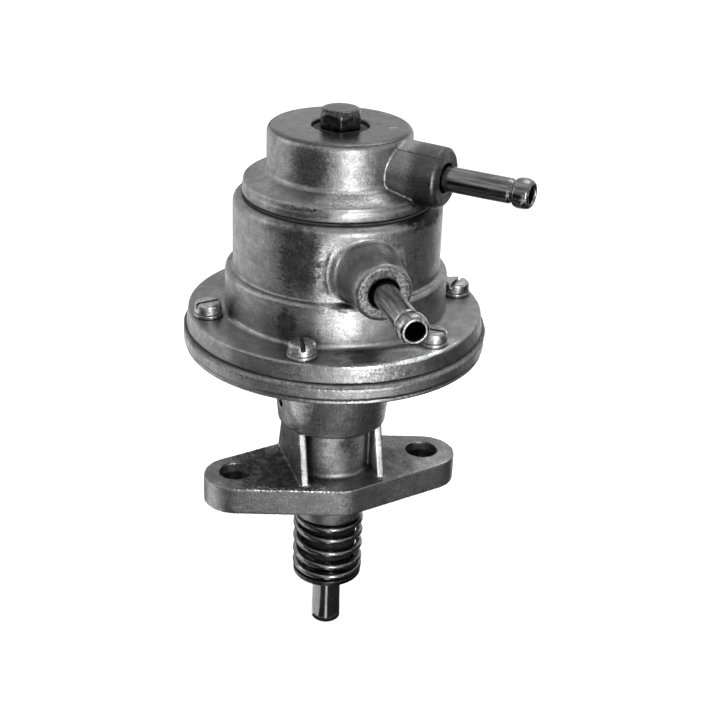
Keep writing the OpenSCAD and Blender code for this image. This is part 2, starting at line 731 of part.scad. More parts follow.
// Closed tower that carries fuel from the outlet valve up to the outlet boss
module outlet_tower() {
    top_z = outlet_z + 7.5;
    translate([0, -valve_offset, deck_z - weld]) cylinder(d = tower_d, h = top_z - deck_z + weld);
    translate([-tower_d / 2, -drum_d / 2 + 2.5, deck_z - weld])
        cube([tower_d, drum_d / 2 - 2.5 - valve_offset, top_z - deck_z + weld]);
}

// Tube of a hose stub along +X, with a groove and a bead at its end
module stub_tube(reach, tip) {
    bead_r = bead_d / 2;
    tube_r = tube_d / 2;
    press_r = tube_press_d / 2;
    x0 = tip - bead_len;
    back_r = 1.8;
    front_r = 1.6;
    difference() {
        rotate([0, 90, 0]) rotate_extrude() polygon(concat(
            [[0, reach - tube_press], [press_r - 0.3, reach - tube_press], [press_r, reach - tube_press + 0.6],
             [press_r, reach], [tube_r, reach], [tube_r, x0 - 1], [tube_r - 0.35, x0 - 0.6], [tube_r - 0.35, x0]],
            arc(bead_r - back_r, x0 + back_r, back_r, 300, 360, 4),
            arc(bead_r - front_r, tip - front_r, front_r, 0, 90, 5),
            [[0, tip]]));
        bar(reach - tube_press - 1, tip + 1, tube_bore_d);
    }
}

module outlet_stub() {
    color(bright_steel) translate([0, 0, outlet_z]) rotate(outlet_dir) stub_tube(outlet_reach, outlet_tip);
}

module inlet_stub() {
    color(bright_steel) translate([0, 0, inlet_z]) rotate(inlet_dir) stub_tube(inlet_reach, inlet_tip);
}

// Turns a valve, drawn with its seat at the top, to the inlet or the outlet side
module place_valve(outlet) {
    if (outlet) translate([0, -valve_offset, valve_z]) mirror([0, 0, 1]) translate([0, 0, -valve_h]) children();
    else translate([0, valve_offset, valve_z]) children();
}

// Cage with the ported seat at the top, a guide pin and an open bridge at the foot
module valve_cage() {
    seat_low = valve_h - valve_plate_t;
    ports = 6;
    bridge_w = 2.4;
    difference() {
        cylinder(d = valve_d, h = valve_h);
        translate([0, 0, -1]) cylinder(d = valve_d - 2 * valve_wall, h = seat_low + 1);
        for (i = [0:ports - 1]) rotate([0, 0, 360 * i / ports])
            translate([valve_disc_d / 2 - valve_port_d, 0, 0]) cylinder(d = valve_port_d, h = valve_h + 1, $fn = 24);
    }
    translate([0, 0, weld]) cylinder(d = valve_pin_d, h = seat_low);
    for (a = [0, 60, 120]) rotate([0, 0, a])
        translate([valve_wall / 2 - valve_d / 2, -bridge_w / 2, 0]) cube([valve_d - valve_wall, bridge_w, valve_bridge_t]);
}

module valve_disc() {
    seat_low = valve_h - valve_plate_t;
    translate([0, 0, seat_low - valve_disc_t]) difference() {
        cylinder(d = valve_disc_d, h = valve_disc_t);
        translate([0, 0, -1]) cylinder(d = valve_pin_d + 0.2, h = valve_disc_t + 2);
    }
}

module valve_spring() {
    top_z = valve_h - valve_plate_t - valve_disc_t;
    coil(top_z, top_z - valve_bridge_t, valve_spring_d, valve_wire, 3, top = 0.8, foot = 0.8, sides = 6, rings = 14);
}

module inlet_valve_cage() { color(bronze) place_valve(false) valve_cage(); }
module inlet_valve_disc() { color(rubber) place_valve(false) valve_disc(); }
module inlet_valve_spring() { color(bronze) place_valve(false) valve_spring(); }
module outlet_valve_cage() { color(bronze) place_valve(true) valve_cage(); }
module outlet_valve_disc() { color(rubber) place_valve(true) valve_disc(); }
module outlet_valve_spring() { color(bronze) place_valve(true) valve_spring(); }

module flange_screws() {
    head_z = flange_top_z + washer_t;
    edge = 0.5;
    color(bright_steel) for (i = [0:screw_count - 1])
        rotate([0, 0, 360 * i / screw_count]) translate([screw_pcd / 2, 0, head_z]) difference() {
            union() {
                cylinder(d1 = screw_head_d, d2 = screw_head_d - 0.3, h = screw_head_h - edge);
                translate([0, 0, screw_head_h - edge])
                    cylinder(d1 = screw_head_d - 0.3, d2 = screw_head_d - 1.4, h = edge);
                translate([0, 0, 0.6 - screw_len]) cylinder(d = screw_d - 2 * thread_play, h = screw_len);
                translate([0, 0, -screw_len]) cylinder(d1 = screw_d - 1.2, d2 = screw_d - 2 * thread_play, h = 0.6);
            }
            rotate([0, 0, screw_slots[i] - 360 * i / screw_count])
                translate([-screw_head_d, -slot_w / 2, screw_head_h - slot_deep])
                    cube([2 * screw_head_d, slot_w, slot_deep + 1]);
        }
}

// Split spring washers under the screw heads
module screw_washers() {
    color(bright_steel) at_screws() difference() {
        ring(flange_top_z, washer_t, washer_d, screw_d + 0.3);
        rotate(washer_split) translate([0, -0.3, flange_top_z - past]) cube([washer_d, 0.6, washer_t + 2 * past]);
    }
}

module strainer_frame() {
    z = drum_top_z - strainer_t;
    color(bronze) {
        difference() {
            ring(z, strainer_t, ledge_d - 0.4, gasket_bore_d);
            ring(z + 0.6, 0.5, gasket_bore_d + 1.4, gasket_bore_d - 1);
        }
        ring(z, strainer_t, post_d, bolt_d + 0.6);
    }
}

// Woven wires of the strainer, as a flat grid
module strainer_gauze() {
    z = drum_top_z - strainer_t + 0.6;
    wire = 0.5;
    r = gasket_bore_d / 2 + 0.7;
    lines = floor(r / gauze_pitch);
    color(bronze) difference() {
        intersection() {
            union() {
                for (i = [-lines:lines]) {
                    translate([-r, i * gauze_pitch - wire / 2, z]) cube([2 * r, wire, wire]);
                    translate([i * gauze_pitch - wire / 2, -r, z]) cube([wire, 2 * r, wire]);
                }
            }
            translate([0, 0, z - 1]) cylinder(r = r, h = 3);
        }
        translate([0, 0, z - 1]) cylinder(d = post_d, h = 3);
    }
}

module cover_gasket() {
    color(rubber) ring(drum_top_z, gasket_t, rim_d + 0.2, gasket_bore_d);
}

// Outside of the cover, turned about the axis
module cover_turning() {
    rr = rim_d / 2;
    dr = dome_d / 2;
    shoulder_z = rim_top_z + shoulder_h;
    lip = 0.7;
    fillet = 1.5;
    rotate_extrude() polygon(concat(
        [[0, cover_z], [rr - 0.3, cover_z], [rr, cover_z + 0.3], [rr, cover_z + 1.9],
         [rr - 0.25, cover_z + 2.15]],
        arc(rr - 0.25 - lip, rim_top_z - lip, lip, 0, 75),
        arc(dr + fillet, shoulder_z + fillet, fillet, 262, 180),
        arc(dr - dome_edge_r, cover_top_z - dome_edge_r, dome_edge_r, 0, 90),
        [[0, cover_top_z]]));
}

// Boss of the inlet stub, flush with the dome and overhanging the rim
module inlet_boss() {
    r = inlet_boss_d / 2;
    translate([0, 0, inlet_z]) rotate(inlet_dir) rotate([0, 90, 0]) rotate_extrude() polygon([
        [0, 0], [r + 0.25, 0], [r + 0.25, dome_d / 2], [r, inlet_reach - face_chamfer],
        [r - face_chamfer, inlet_reach], [0, inlet_reach]]);
}

module top_cover() {
    wall_z = rim_top_z - 1.8;
    color(casting) difference() {
        union() {
            difference() {
                union() {
                    cover_turning();
                    inlet_boss();
                }
                rotate_extrude() polygon([
                    [0, cover_z - 1], [rim_bore_d / 2, cover_z - 1], [rim_bore_d / 2, wall_z],
                    [dome_bore_d / 2, wall_z + 1.5], [dome_bore_d / 2, lid_z - 1],
                    [dome_bore_d / 2 - 1, lid_z], [0, lid_z]]);
            }
            translate([0, 0, boss_low_z]) cylinder(d = bolt_d + 6, h = cover_top_z - boss_low_z - 1);
        }
        translate([0, 0, cover_z - 1]) cylinder(d = bolt_d + 0.6, h = cover_h + 2);
        translate([0, 0, cover_top_z - recess_deep]) cylinder(d = recess_d, h = recess_deep + 1);
        translate([0, 0, inlet_z]) rotate(inlet_dir) stub_hole(inlet_reach, dome_bore_d / 2 - 2);
    }
}

module bolt_washer() {
    color(dark_steel) ring(cover_top_z - recess_deep, seal_washer_t, seal_washer_d, bolt_d + 0.4);
}

// Hexagon bolt with a washer face and a rounded top
module cover_bolt() {
    corner_d = bolt_af / cos(30);
    shank_d = bolt_d - 2 * thread_play;
    face_t = 0.4;
    color(dark_steel) translate([0, 0, bolt_seat_z]) {
        intersection() {
            translate([0, 0, face_t]) rotate([0, 0, bolt_turn])
                cylinder(d = corner_d, h = bolt_head_h - face_t, $fn = 6);
            rotate_extrude() polygon(concat(
                [[0, 0], [corner_d / 2 - 0.3, 0], [corner_d / 2 + 0.1, 0.8],
                 [corner_d / 2 + 0.1, bolt_head_h - 1.2], [corner_d / 2 - 0.35, bolt_head_h - 0.7]],
                [[corner_d / 2 - 1.1, bolt_head_h - 0.25], [corner_d / 2 - 2, bolt_head_h], [0, bolt_head_h]]));
        }
        cylinder(d = bolt_af - 0.4, h = face_t);
        translate([0, 0, 0.8 - bolt_len]) cylinder(d = shank_d, h = bolt_len);
        translate([0, 0, -bolt_len]) cylinder(d1 = shank_d - 1.6, d2 = shank_d, h = 0.8);
    }
}

lower_body();
guide_bush();
nose_sleeve();
rod_seal();
seal_retainer();
delivery_spring();
plunger();
plunger_spring();
spring_seat();
seat_clip();
link_pin();
diaphragm_rod();
lower_plate();
diaphragm();
upper_plate();
diaphragm_nut();
upper_body();
outlet_stub();
inlet_valve_cage();
inlet_valve_disc();
inlet_valve_spring();
outlet_valve_cage();
outlet_valve_disc();
outlet_valve_spring();
flange_screws();
screw_washers();
strainer_frame();
strainer_gauze();
cover_gasket();
top_cover();
inlet_stub();
bolt_washer();
cover_bolt();
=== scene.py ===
# %% [markdown]
# # A mechanical fuel pump
# This lesson dresses the finished model of a plunger-driven fuel pump. The model comes in as
# a fixed frame: every piece is already in its real place, in metres, with +Z up the pump's
# axis. We give each piece the surface that the real one has, and remodel the small pieces
# whose edges catch the light. Nothing here moves or resizes the model.

# %% Load the frame
import math

import bpy
from mathutils import Matrix, Vector


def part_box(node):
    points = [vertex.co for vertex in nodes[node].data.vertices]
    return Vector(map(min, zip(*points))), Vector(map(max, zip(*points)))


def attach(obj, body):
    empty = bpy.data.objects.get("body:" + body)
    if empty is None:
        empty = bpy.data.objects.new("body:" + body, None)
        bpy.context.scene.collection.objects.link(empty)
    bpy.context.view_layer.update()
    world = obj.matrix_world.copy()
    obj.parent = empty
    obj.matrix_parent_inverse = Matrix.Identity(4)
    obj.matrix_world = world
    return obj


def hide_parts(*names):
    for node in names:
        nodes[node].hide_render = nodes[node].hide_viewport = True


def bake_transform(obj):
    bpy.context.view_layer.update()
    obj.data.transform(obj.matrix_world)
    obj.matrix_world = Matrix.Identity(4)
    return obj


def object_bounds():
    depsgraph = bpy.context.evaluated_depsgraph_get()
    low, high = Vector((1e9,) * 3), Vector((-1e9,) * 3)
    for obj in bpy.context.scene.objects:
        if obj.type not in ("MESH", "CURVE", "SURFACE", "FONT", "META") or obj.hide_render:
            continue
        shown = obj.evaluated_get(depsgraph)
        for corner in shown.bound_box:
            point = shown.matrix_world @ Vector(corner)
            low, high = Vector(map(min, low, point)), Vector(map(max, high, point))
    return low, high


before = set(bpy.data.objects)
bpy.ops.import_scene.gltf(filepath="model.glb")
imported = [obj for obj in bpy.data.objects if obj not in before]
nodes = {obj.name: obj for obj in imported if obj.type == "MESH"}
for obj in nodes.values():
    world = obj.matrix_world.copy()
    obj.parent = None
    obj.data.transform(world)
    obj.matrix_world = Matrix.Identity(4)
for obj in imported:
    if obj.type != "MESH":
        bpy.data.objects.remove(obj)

MM = 0.001
cad_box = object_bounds()

# %% [markdown]
# ## The camera
# The photograph was taken with a fairly long lens from above and to the left of the pump's
# front. Its place was worked out from the round edges: each circle on the pump shows as an
# ellipse, and how flat the ellipses are says how high the camera stood. We could use a
# constraint to aim the camera, but a small roll is easier to state in a matrix.

# %% Camera
CAMERA_AT = Vector((-102.34, -336.48, 203.44)) * MM
CAMERA_AIM = Vector((7.45, 0, 36.95)) * MM
CAMERA_ROLL = math.radians(2.26)
CAMERA_LENS = 73.33


def aim_matrix(place, target, roll=0.0):
    """Matrix of something at place that looks at target, turned by roll about its view."""
    back = (place - target).normalized()
    right = Vector((0, 0, 1)).cross(back).normalized()
    up = back.cross(right)
    turn = Matrix((right, up, back)).transposed().to_4x4()
    return Matrix.Translation(place) @ turn @ Matrix.Rotation(roll, 4, "Z")


scene = bpy.context.scene
camera = bpy.data.objects.new("camera", bpy.data.cameras.new("camera"))
scene.collection.objects.link(camera)
camera.data.lens = CAMERA_LENS
camera.data.sensor_width = 36
camera.data.clip_start = 0.01
camera.matrix_world = aim_matrix(CAMERA_AT, CAMERA_AIM, CAMERA_ROLL)
scene.camera = camera
scene.view_settings.view_transform = "Standard"
print("camera", round((CAMERA_AT - CAMERA_AIM).length, 3), "m from its target")

# %% [markdown]
# ## The studio
# A product photographer would stand this pump on a sheet of white paper. Satin metal has
# little colour of its own: it shows what stands round it, so a plain white room would make
# it look like grey plastic. The photograph has one bright upright band on every round wall
# and a dark one beside it. So one tall soft lamp stands to the right of the camera, with two
# broad lamps on the left and high up behind the pump. The dark bands come from black cards
# that stand round the pump, and from cloths on the floor. These only show in reflections:
# the camera doesn't see them, and they cast no shadow. The world is white for the camera
# and in reflections, and dim as a light, so that the background doesn't light the pump.
# On the castings' front left, the dark band is partly painted dark reflection in their stains.

# %% Node helpers
def new_material(name):
    """An empty node material."""
    material = bpy.data.materials.new(name)
    material.use_nodes = True
    material.node_tree.nodes.clear()
    return material


def add_node(tree, kind, **inputs):
    """A shader node with some of its input sockets set by name."""
    node = tree.nodes.new(kind)
    for key, value in inputs.items():
        node.inputs[key.replace("_", " ")].default_value = value
    return node


def feed(tree, socket, value):
    """Link a socket to another node's output, or set it to a plain value."""
    if isinstance(value, bpy.types.NodeSocket):
        tree.links.new(value, socket)
    else:
        socket.default_value = value


# %% Floor and world
FLOOR_Z = cad_box[0][2] - 0.2 * MM
FLOOR_SIZE = 3.0


def studio_sheet(name, points, faces, material):
    """A sheet that is part of the studio and not of the pump."""
    mesh = bpy.data.meshes.new(name)
    mesh.from_pydata(points, [], faces)
    sheet = bpy.data.objects.new(name, mesh)
    scene.collection.objects.link(sheet)
    mesh.materials.append(material)
    return sheet


def paper():
    """White paper that glows a little, so that it stays white between the lamps."""
    material = new_material("floor_paper")
    tree = material.node_tree
    matt = add_node(tree, "ShaderNodeBsdfPrincipled", Base_Color=(0.9, 0.9, 0.9, 1), Roughness=0.9)
    glow = add_node(tree, "ShaderNodeEmission", Color=(1, 1, 1, 1), Strength=0.55)
    both = add_node(tree, "ShaderNodeAddShader")
    out = add_node(tree, "ShaderNodeOutputMaterial")
    feed(tree, both.inputs[0], matt.outputs[0])
    feed(tree, both.inputs[1], glow.outputs[0])
    feed(tree, out.inputs[0], both.outputs[0])
    return material


def make_world():
    """White behind the pump and in its reflections, dim as a light."""
    world = bpy.data.worlds.new("studio")
    scene.world = world
    world.use_nodes = True
    tree = world.node_tree
    tree.nodes.clear()
    path = add_node(tree, "ShaderNodeLightPath")
    white = add_node(tree, "ShaderNodeBackground", Color=(1, 1, 1, 1), Strength=1.0)
    dim = add_node(tree, "ShaderNodeBackground", Color=(1, 1, 1, 1), Strength=0.5)
    seen = add_node(tree, "ShaderNodeMath")
    seen.operation = "MAXIMUM"
    also = add_node(tree, "ShaderNodeMath")
    also.operation = "MAXIMUM"
    mix = add_node(tree, "ShaderNodeMixShader")
    out = add_node(tree, "ShaderNodeOutputWorld")
    feed(tree, seen.inputs[0], path.outputs["Is Camera Ray"])
    feed(tree, seen.inputs[1], path.outputs["Is Glossy Ray"])
    feed(tree, also.inputs[0], seen.outputs[0])
    feed(tree, also.inputs[1], path.outputs["Is Transmission Ray"])
    feed(tree, mix.inputs[0], also.outputs[0])
    feed(tree, mix.inputs[1], dim.outputs[0])
    feed(tree, mix.inputs[2], white.outputs[0])
    feed(tree, out.inputs[0], mix.outputs[0])


half = FLOOR_SIZE / 2
floor_corners = [(-half, -half, FLOOR_Z), (half, -half, FLOOR_Z),
                 (half, half, FLOOR_Z), (-half, half, FLOOR_Z)]
studio_sheet("floor", floor_corners, [(0, 1, 2, 3)], paper())
make_world()
print("floor at", round(FLOOR_Z, 4))


# %% Lamps
def around(azimuth, distance, height):
    """A point at a compass angle and distance from the pump's axis, in mm."""
    a = math.radians(azimuth)
    return Vector((distance * math.cos(a), distance * math.sin(a), height)) * MM


def soft_lamp(name, place, target, width, height, watts):
    """A rectangular lamp that faces the pump. Sizes in mm."""
    data = bpy.data.lights.new(name, "AREA")
    data.shape = "RECTANGLE"
    data.size = width * MM
    data.size_y = height * MM
    data.energy = watts
    lamp = bpy.data.objects.new(name, data)
    scene.collection.objects.link(lamp)
    lamp.matrix_world = aim_matrix(place, target)
    lamp.visible_camera = False


PUMP_MIDDLE = around(0, 0, 50)
soft_lamp("tall_front_lamp", around(-88.5, 330, 95), around(0, 0, 60), width=36, height=250, watts=0.95)
soft_lamp("left_lamp", around(160, 600, 250), PUMP_MIDDLE, width=300, height=400, watts=0.8)
soft_lamp("top_lamp", around(40, 350, 700), PUMP_MIDDLE, width=400, height=400, watts=1.5)


# %% Cards and cloths
CARD_DISTANCE = 260
CARD_FOOT = -43
CLOTH_STEPS = 12
CLOTH_Z = FLOOR_Z / MM + 0.4


def card_cloth(name, tone, glow=0.0):
    """Matt cloth for cards and floor, which may glow as the paper does."""
    material = new_material(name)
    tree = material.node_tree
    cloth = add_node(tree, "ShaderNodeBsdfPrincipled", Base_Color=(tone, tone, tone, 1), Roughness=1.0,
                     Emission_Color=(1, 1, 1, 1), Emission_Strength=glow)
    out = add_node(tree, "ShaderNodeOutputMaterial")
    feed(tree, out.inputs[0], cloth.outputs[0])
    return material


black_cloth = card_cloth("black_cloth", 0.01)
grey_cloth = card_cloth("grey_cloth", 0.7, 0.3)


def mirrored_sheet(name, points, faces, cloth):
    """A sheet that only shows in reflections."""
    sheet = studio_sheet(name, points, faces, cloth)
    sheet.visible_camera = False
    sheet.visible_shadow = False
    sheet.visible_diffuse = False


def dark_card(name, start, end, top):
    """An upright black card from one compass angle to another. Its top is in mm."""
    corners = [around(start, CARD_DISTANCE, CARD_FOOT), around(end, CARD_DISTANCE, CARD_FOOT),
               around(end, CARD_DISTANCE, top), around(start, CARD_DISTANCE, top)]
    mirrored_sheet(name, corners, [(0, 1, 2, 3)], black_cloth)


def floor_cloth(name, start, end, near, far, cloth=black_cloth):
    """A cloth on the floor between two compass angles and two distances, in mm."""
    ring = [around(start + (end - start) * i / CLOTH_STEPS, r, CLOTH_Z)
            for r in (near, far) for i in range(CLOTH_STEPS + 1)]
    faces = [(i, i + 1, CLOTH_STEPS + 2 + i, CLOTH_STEPS + 1 + i) for i in range(CLOTH_STEPS)]
    mirrored_sheet(name, ring, faces, cloth)


dark_card("left_card", -184, -122, 120)
dark_card("right_card", -60, 25, 60)
dark_card("rear_card", 62, 96, 120)
floor_cloth("left_cloth", -168, -112, 30, 190)
floor_cloth("foot_cloth", -150, -112, 6, 30)
floor_cloth("right_cloth", -98, 25, 6, 190)
floor_cloth("near_cloth", -190, 40, 0.5, 6)
floor_cloth("back_cloth", 85, 138, 30, 150)
floor_cloth("heel_cloth", 112, 210, 6, 30, grey_cloth)

# %% [markdown]
# ## Where a surface pattern comes from
# Nothing here uses a picture for its colour. Every pattern is computed from the place on the
# pump, so it has the right size in millimetres and runs on from one face to the next. Object
# coordinates are used and not generated ones, because each node keeps its place in its mesh:
# a stain can be put at a point of the pump that we read off the photograph.

# %% Pattern helpers
def where_on(tree):
    """The place on the piece, in metres."""
    return add_node(tree, "ShaderNodeTexCoord").outputs["Object"]


def speckle(tree, place, size, detail=4.0, roughness=0.55, distortion=0.0):
    """Noise from 0 to 1 whose lumps are about size mm across."""
    node = add_node(tree, "ShaderNodeTexNoise", Scale=1 / (size * MM), Detail=detail,
                    Roughness=roughness, Distortion=distortion)
    feed(tree, node.inputs["Vector"], place)
    return node.outputs[0]


def sums(tree, operation, a, b=0.0, clamp=False):
    """A Math node."""
    node = tree.nodes.new("ShaderNodeMath")
    node.operation = operation
    node.use_clamp = clamp
    feed(tree, node.inputs[0], a)
    feed(tree, node.inputs[1], b)
    return node.outputs[0]


def times(tree, a, b):
    """The product of two values."""
    return sums(tree, "MULTIPLY", a, b)


def plus(tree, a, b):
    """The sum of two values."""
    return sums(tree, "ADD", a, b)


def minus(tree, a, b, clamp=False):
    """The difference of two values, kept between 0 and 1 where clamp is on."""
    return sums(tree, "SUBTRACT", a, b, clamp)


def vector_sums(tree, operation, a, b=(0, 0, 0)):
    """A Vector Math node. Its outputs are a Vector and a Value."""
    node = tree.nodes.new("ShaderNodeVectorMath")
    node.operation = operation
    feed(tree, node.inputs[0], a)
    feed(tree, node.inputs[1], b)
    return node


def fade(tree, value, low, high, to_low=0.0, to_high=1.0):
    """Map low..high smoothly to to_low..to_high."""
    node = add_node(tree, "ShaderNodeMapRange")
    node.interpolation_type = "SMOOTHSTEP"
    feed(tree, node.inputs["Value"], value)
    node.inputs["From Min"].default_value = low
    node.inputs["From Max"].default_value = high
    node.inputs["To Min"].default_value = to_low
    node.inputs["To Max"].default_value = to_high
    return node.outputs[0]


def tint(tree, factor, a, b, mode="MIX"):
    """Mix two colours, or a colour and a socket."""
    node = tree.nodes.new("ShaderNodeMix")
    node.data_type = "RGBA"
    node.blend_type = mode
    feed(tree, node.inputs[0], factor)
    feed(tree, node.inputs[6], a)
    feed(tree, node.inputs[7], b)
    return node.outputs[2]


def grey(value):
    """A neutral colour."""
    return (value, value, value, 1)


def coat(tree, colour, mask, depth, shade):
    """Lay a grey shade over a colour where the mask is 1, as thick as depth says."""
    return tint(tree, times(tree, mask, depth), colour, grey(shade))


# %% Edges, corners and streaks
TURN_RADIUS = 30  # about the pump's radius in mm: it turns an angle into a length


def worn_edge(tree, radius):
    """1 along corners and 0 on flats: how far a rounded-over normal leans from the real one."""
    bevel = add_node(tree, "ShaderNodeBevel", Radius=radius * MM)
    bevel.samples = 6
    real = tree.nodes.new("ShaderNodeNewGeometry")
    lean = vector_sums(tree, "DOT_PRODUCT", bevel.outputs[0], real.outputs["Normal"])
    return fade(tree, lean.outputs["Value"], 0.995, 0.86)


def corner_grime_and_shade(tree, reach):
    """1 deep in a corner or hole and 0 in the open: the mask for grime and painted shade."""
    node = add_node(tree, "ShaderNodeAmbientOcclusion", Distance=reach * MM)
    node.samples = 8
    return fade(tree, node.outputs["AO"], 0.85, 0.25)


def streaks(tree, place, size, stretch):
    """Noise that is drawn out round the pump's axis, as wiping and turning leave it."""
    split = tree.nodes.new("ShaderNodeSeparateXYZ")
    feed(tree, split.inputs[0], place)
    x, y, z = split.outputs
    angle = sums(tree, "ARCTAN2", x, times(tree, y, -1.0))
    out = sums(tree, "SQRT", plus(tree, times(tree, x, x), times(tree, y, y)))
    join = tree.nodes.new("ShaderNodeCombineXYZ")
    feed(tree, join.inputs[0], times(tree, angle, TURN_RADIUS * MM / stretch))
    feed(tree, join.inputs[1], out)
    feed(tree, join.inputs[2], z)
    return speckle(tree, join.outputs[0], size, 5.0, 0.65, 0.3)


# %% Patches
LUMP_PUSH = 2.4
STREAK_PUSH = 2.6


def patch_at(tree, place, centre, radii, soft, ragged):
    """1 near a point of the pump and 0 away from it. Lumps and streaks push its border. Sizes in mm."""
    shift = vector_sums(tree, "SUBTRACT", place, [c * MM for c in centre])
    shrink = vector_sums(tree, "DIVIDE", shift.outputs["Vector"], [r * MM for r in radii])
    far = vector_sums(tree, "LENGTH", shrink.outputs["Vector"])
    lumps = minus(tree, speckle(tree, place, 3.0, 8.0, 0.75, 0.5), 0.5)
    grain = minus(tree, streaks(tree, place, 0.7, 2.5), 0.5)
    rough = plus(tree, times(tree, lumps, LUMP_PUSH * ragged), times(tree, grain, STREAK_PUSH * ragged))
    return fade(tree, plus(tree, far.outputs["Value"], rough), 1.0 + soft, 1.0 - soft)


print("pattern helpers ready")

# %% [markdown]
# ## The castings
# The body and the cover are die castings of a zinc or aluminium alloy. They come out of the
# mould with a satin skin, and years of oily hands and fuel leave dark stains and grey film in
# the corners, while the edges are rubbed bright. So the finish has layers. First comes a
# metal whose tone and roughness vary at three sizes of grain. On it lie faces that are
# brighter or darker than the rest, some of them painted highlights and painted shade, fields
# of coarse specks where the skin is broken, stains at the places where the photograph has
# them, some of them painted shadows and painted dark reflections, and the thin line where
# the mould's halves met. Grime and painted shade in the corners and bright worn edges come
# last.

# %% Layers of a casting
MEAN_GRAIN = 0.74  # how bright the layers of grain leave a tone, on average


def cast_metal(tree, place, tone, grain):
    """Colour of bare cast metal, and the four patterns that it is made of."""
    fine = speckle(tree, place, 0.4, 3.0, 0.7)
    middle = speckle(tree, place, 2.6, 7.0, 0.7, 0.4)
    broad = speckle(tree, place, 13.0, 5.0, 0.6, 0.8)
    wiped = streaks(tree, place, 1.3, 5.0)
    dull, bright = grey(tone * (1 - 0.32 * grain)), grey(tone * (1 + 0.42 * grain))
    colour = tint(tree, fade(tree, fine, 0.32, 0.68), dull, bright)
    colour = tint(tree, fade(tree, wiped, 0.35, 0.65, 0.0, 0.55), colour, grey(tone * 0.62))
    colour = tint(tree, fade(tree, middle, 0.4, 0.68, 0.0, 0.7), colour, grey(tone * 0.6))
    colour = tint(tree, fade(tree, broad, 0.45, 0.7, 0.0, 0.5), colour, grey(tone * 0.5))
    pits = fade(tree, speckle(tree, place, 0.8, 5.0, 0.75), 0.64, 0.7)
    return coat(tree, colour, pits, 0.75, tone * 0.15), fine, middle, broad, wiped


def tone_faces_and_paint_light(tree, place, colour, faces, sparkle):
    """Make faces brighter or darker, some of them as painted highlights and painted shade. A bright face
    sparkles.
    """
    for centre, radii, factor, soft in faces:
        face = patch_at(tree, place, centre, radii, soft, soft * 0.8)
        face = times(tree, face, sparkle if factor > 1 else 1.0)
        colour = tint(tree, face, colour, grey(factor / MEAN_GRAIN), "MULTIPLY")
    return colour


def scatter_specks(tree, place, colour, tone, specks):
    """Coarse dark and bright specks where the skin is broken."""
    coarse = fade(tree, speckle(tree, place, 0.6, 3.0, 0.8), 0.38, 0.64)
    for centre, radii, low, high in specks:
        field = patch_at(tree, place, centre, radii, 0.15, 0.25)
        colour = tint(tree, field, colour, tint(tree, coarse, grey(tone * low), grey(tone * high)))
    return colour


def stains_shade_and_lines(tree, place, stains, lines):
    """How dark stains, painted shadows, painted dark reflections and parting lines are, from 0 to about 1.
    """
    dark = 0.0
    for centre, radii, depth, *soft in stains:
        stain = patch_at(tree, place, centre, radii, soft[0] if soft else 0.3, 0.7)
        dark = sums(tree, "MAXIMUM", times(tree, stain, depth), dark)
    for normal, offset, centre, radii in lines:
        across = vector_sums(tree, "DOT_PRODUCT", place, normal)
        off = sums(tree, "ABSOLUTE", minus(tree, across.outputs["Value"], offset * MM))
        reach = patch_at(tree, place, centre, radii, 0.1, 0.1)
        line = times(tree, fade(tree, off, 0.28 * MM, 0.08 * MM), reach)
        dark = sums(tree, "MAXIMUM", times(tree, line, 0.85), dark)
    return dark


def relief(tree, height, strength, depth):
    """A bumped normal. The depth is in mm."""
    bump = add_node(tree, "ShaderNodeBump", Strength=strength, Distance=depth * MM)
    feed(tree, bump.inputs["Height"], height)
    return bump.outputs[0]


def surface(material, colour, rough, normal, metallic=1.0):
    """Close a material with its colour, roughness and bumps."""
    tree = material.node_tree
    bsdf = add_node(tree, "ShaderNodeBsdfPrincipled", Metallic=metallic)
    feed(tree, bsdf.inputs["Base Color"], colour)
    feed(tree, bsdf.inputs["Roughness"], rough)
    feed(tree, bsdf.inputs["Normal"], normal)
    out = add_node(tree, "ShaderNodeOutputMaterial")
    feed(tree, out.inputs[0], bsdf.outputs[0])
    return material


print("layers ready, at a mean grain of", MEAN_GRAIN)


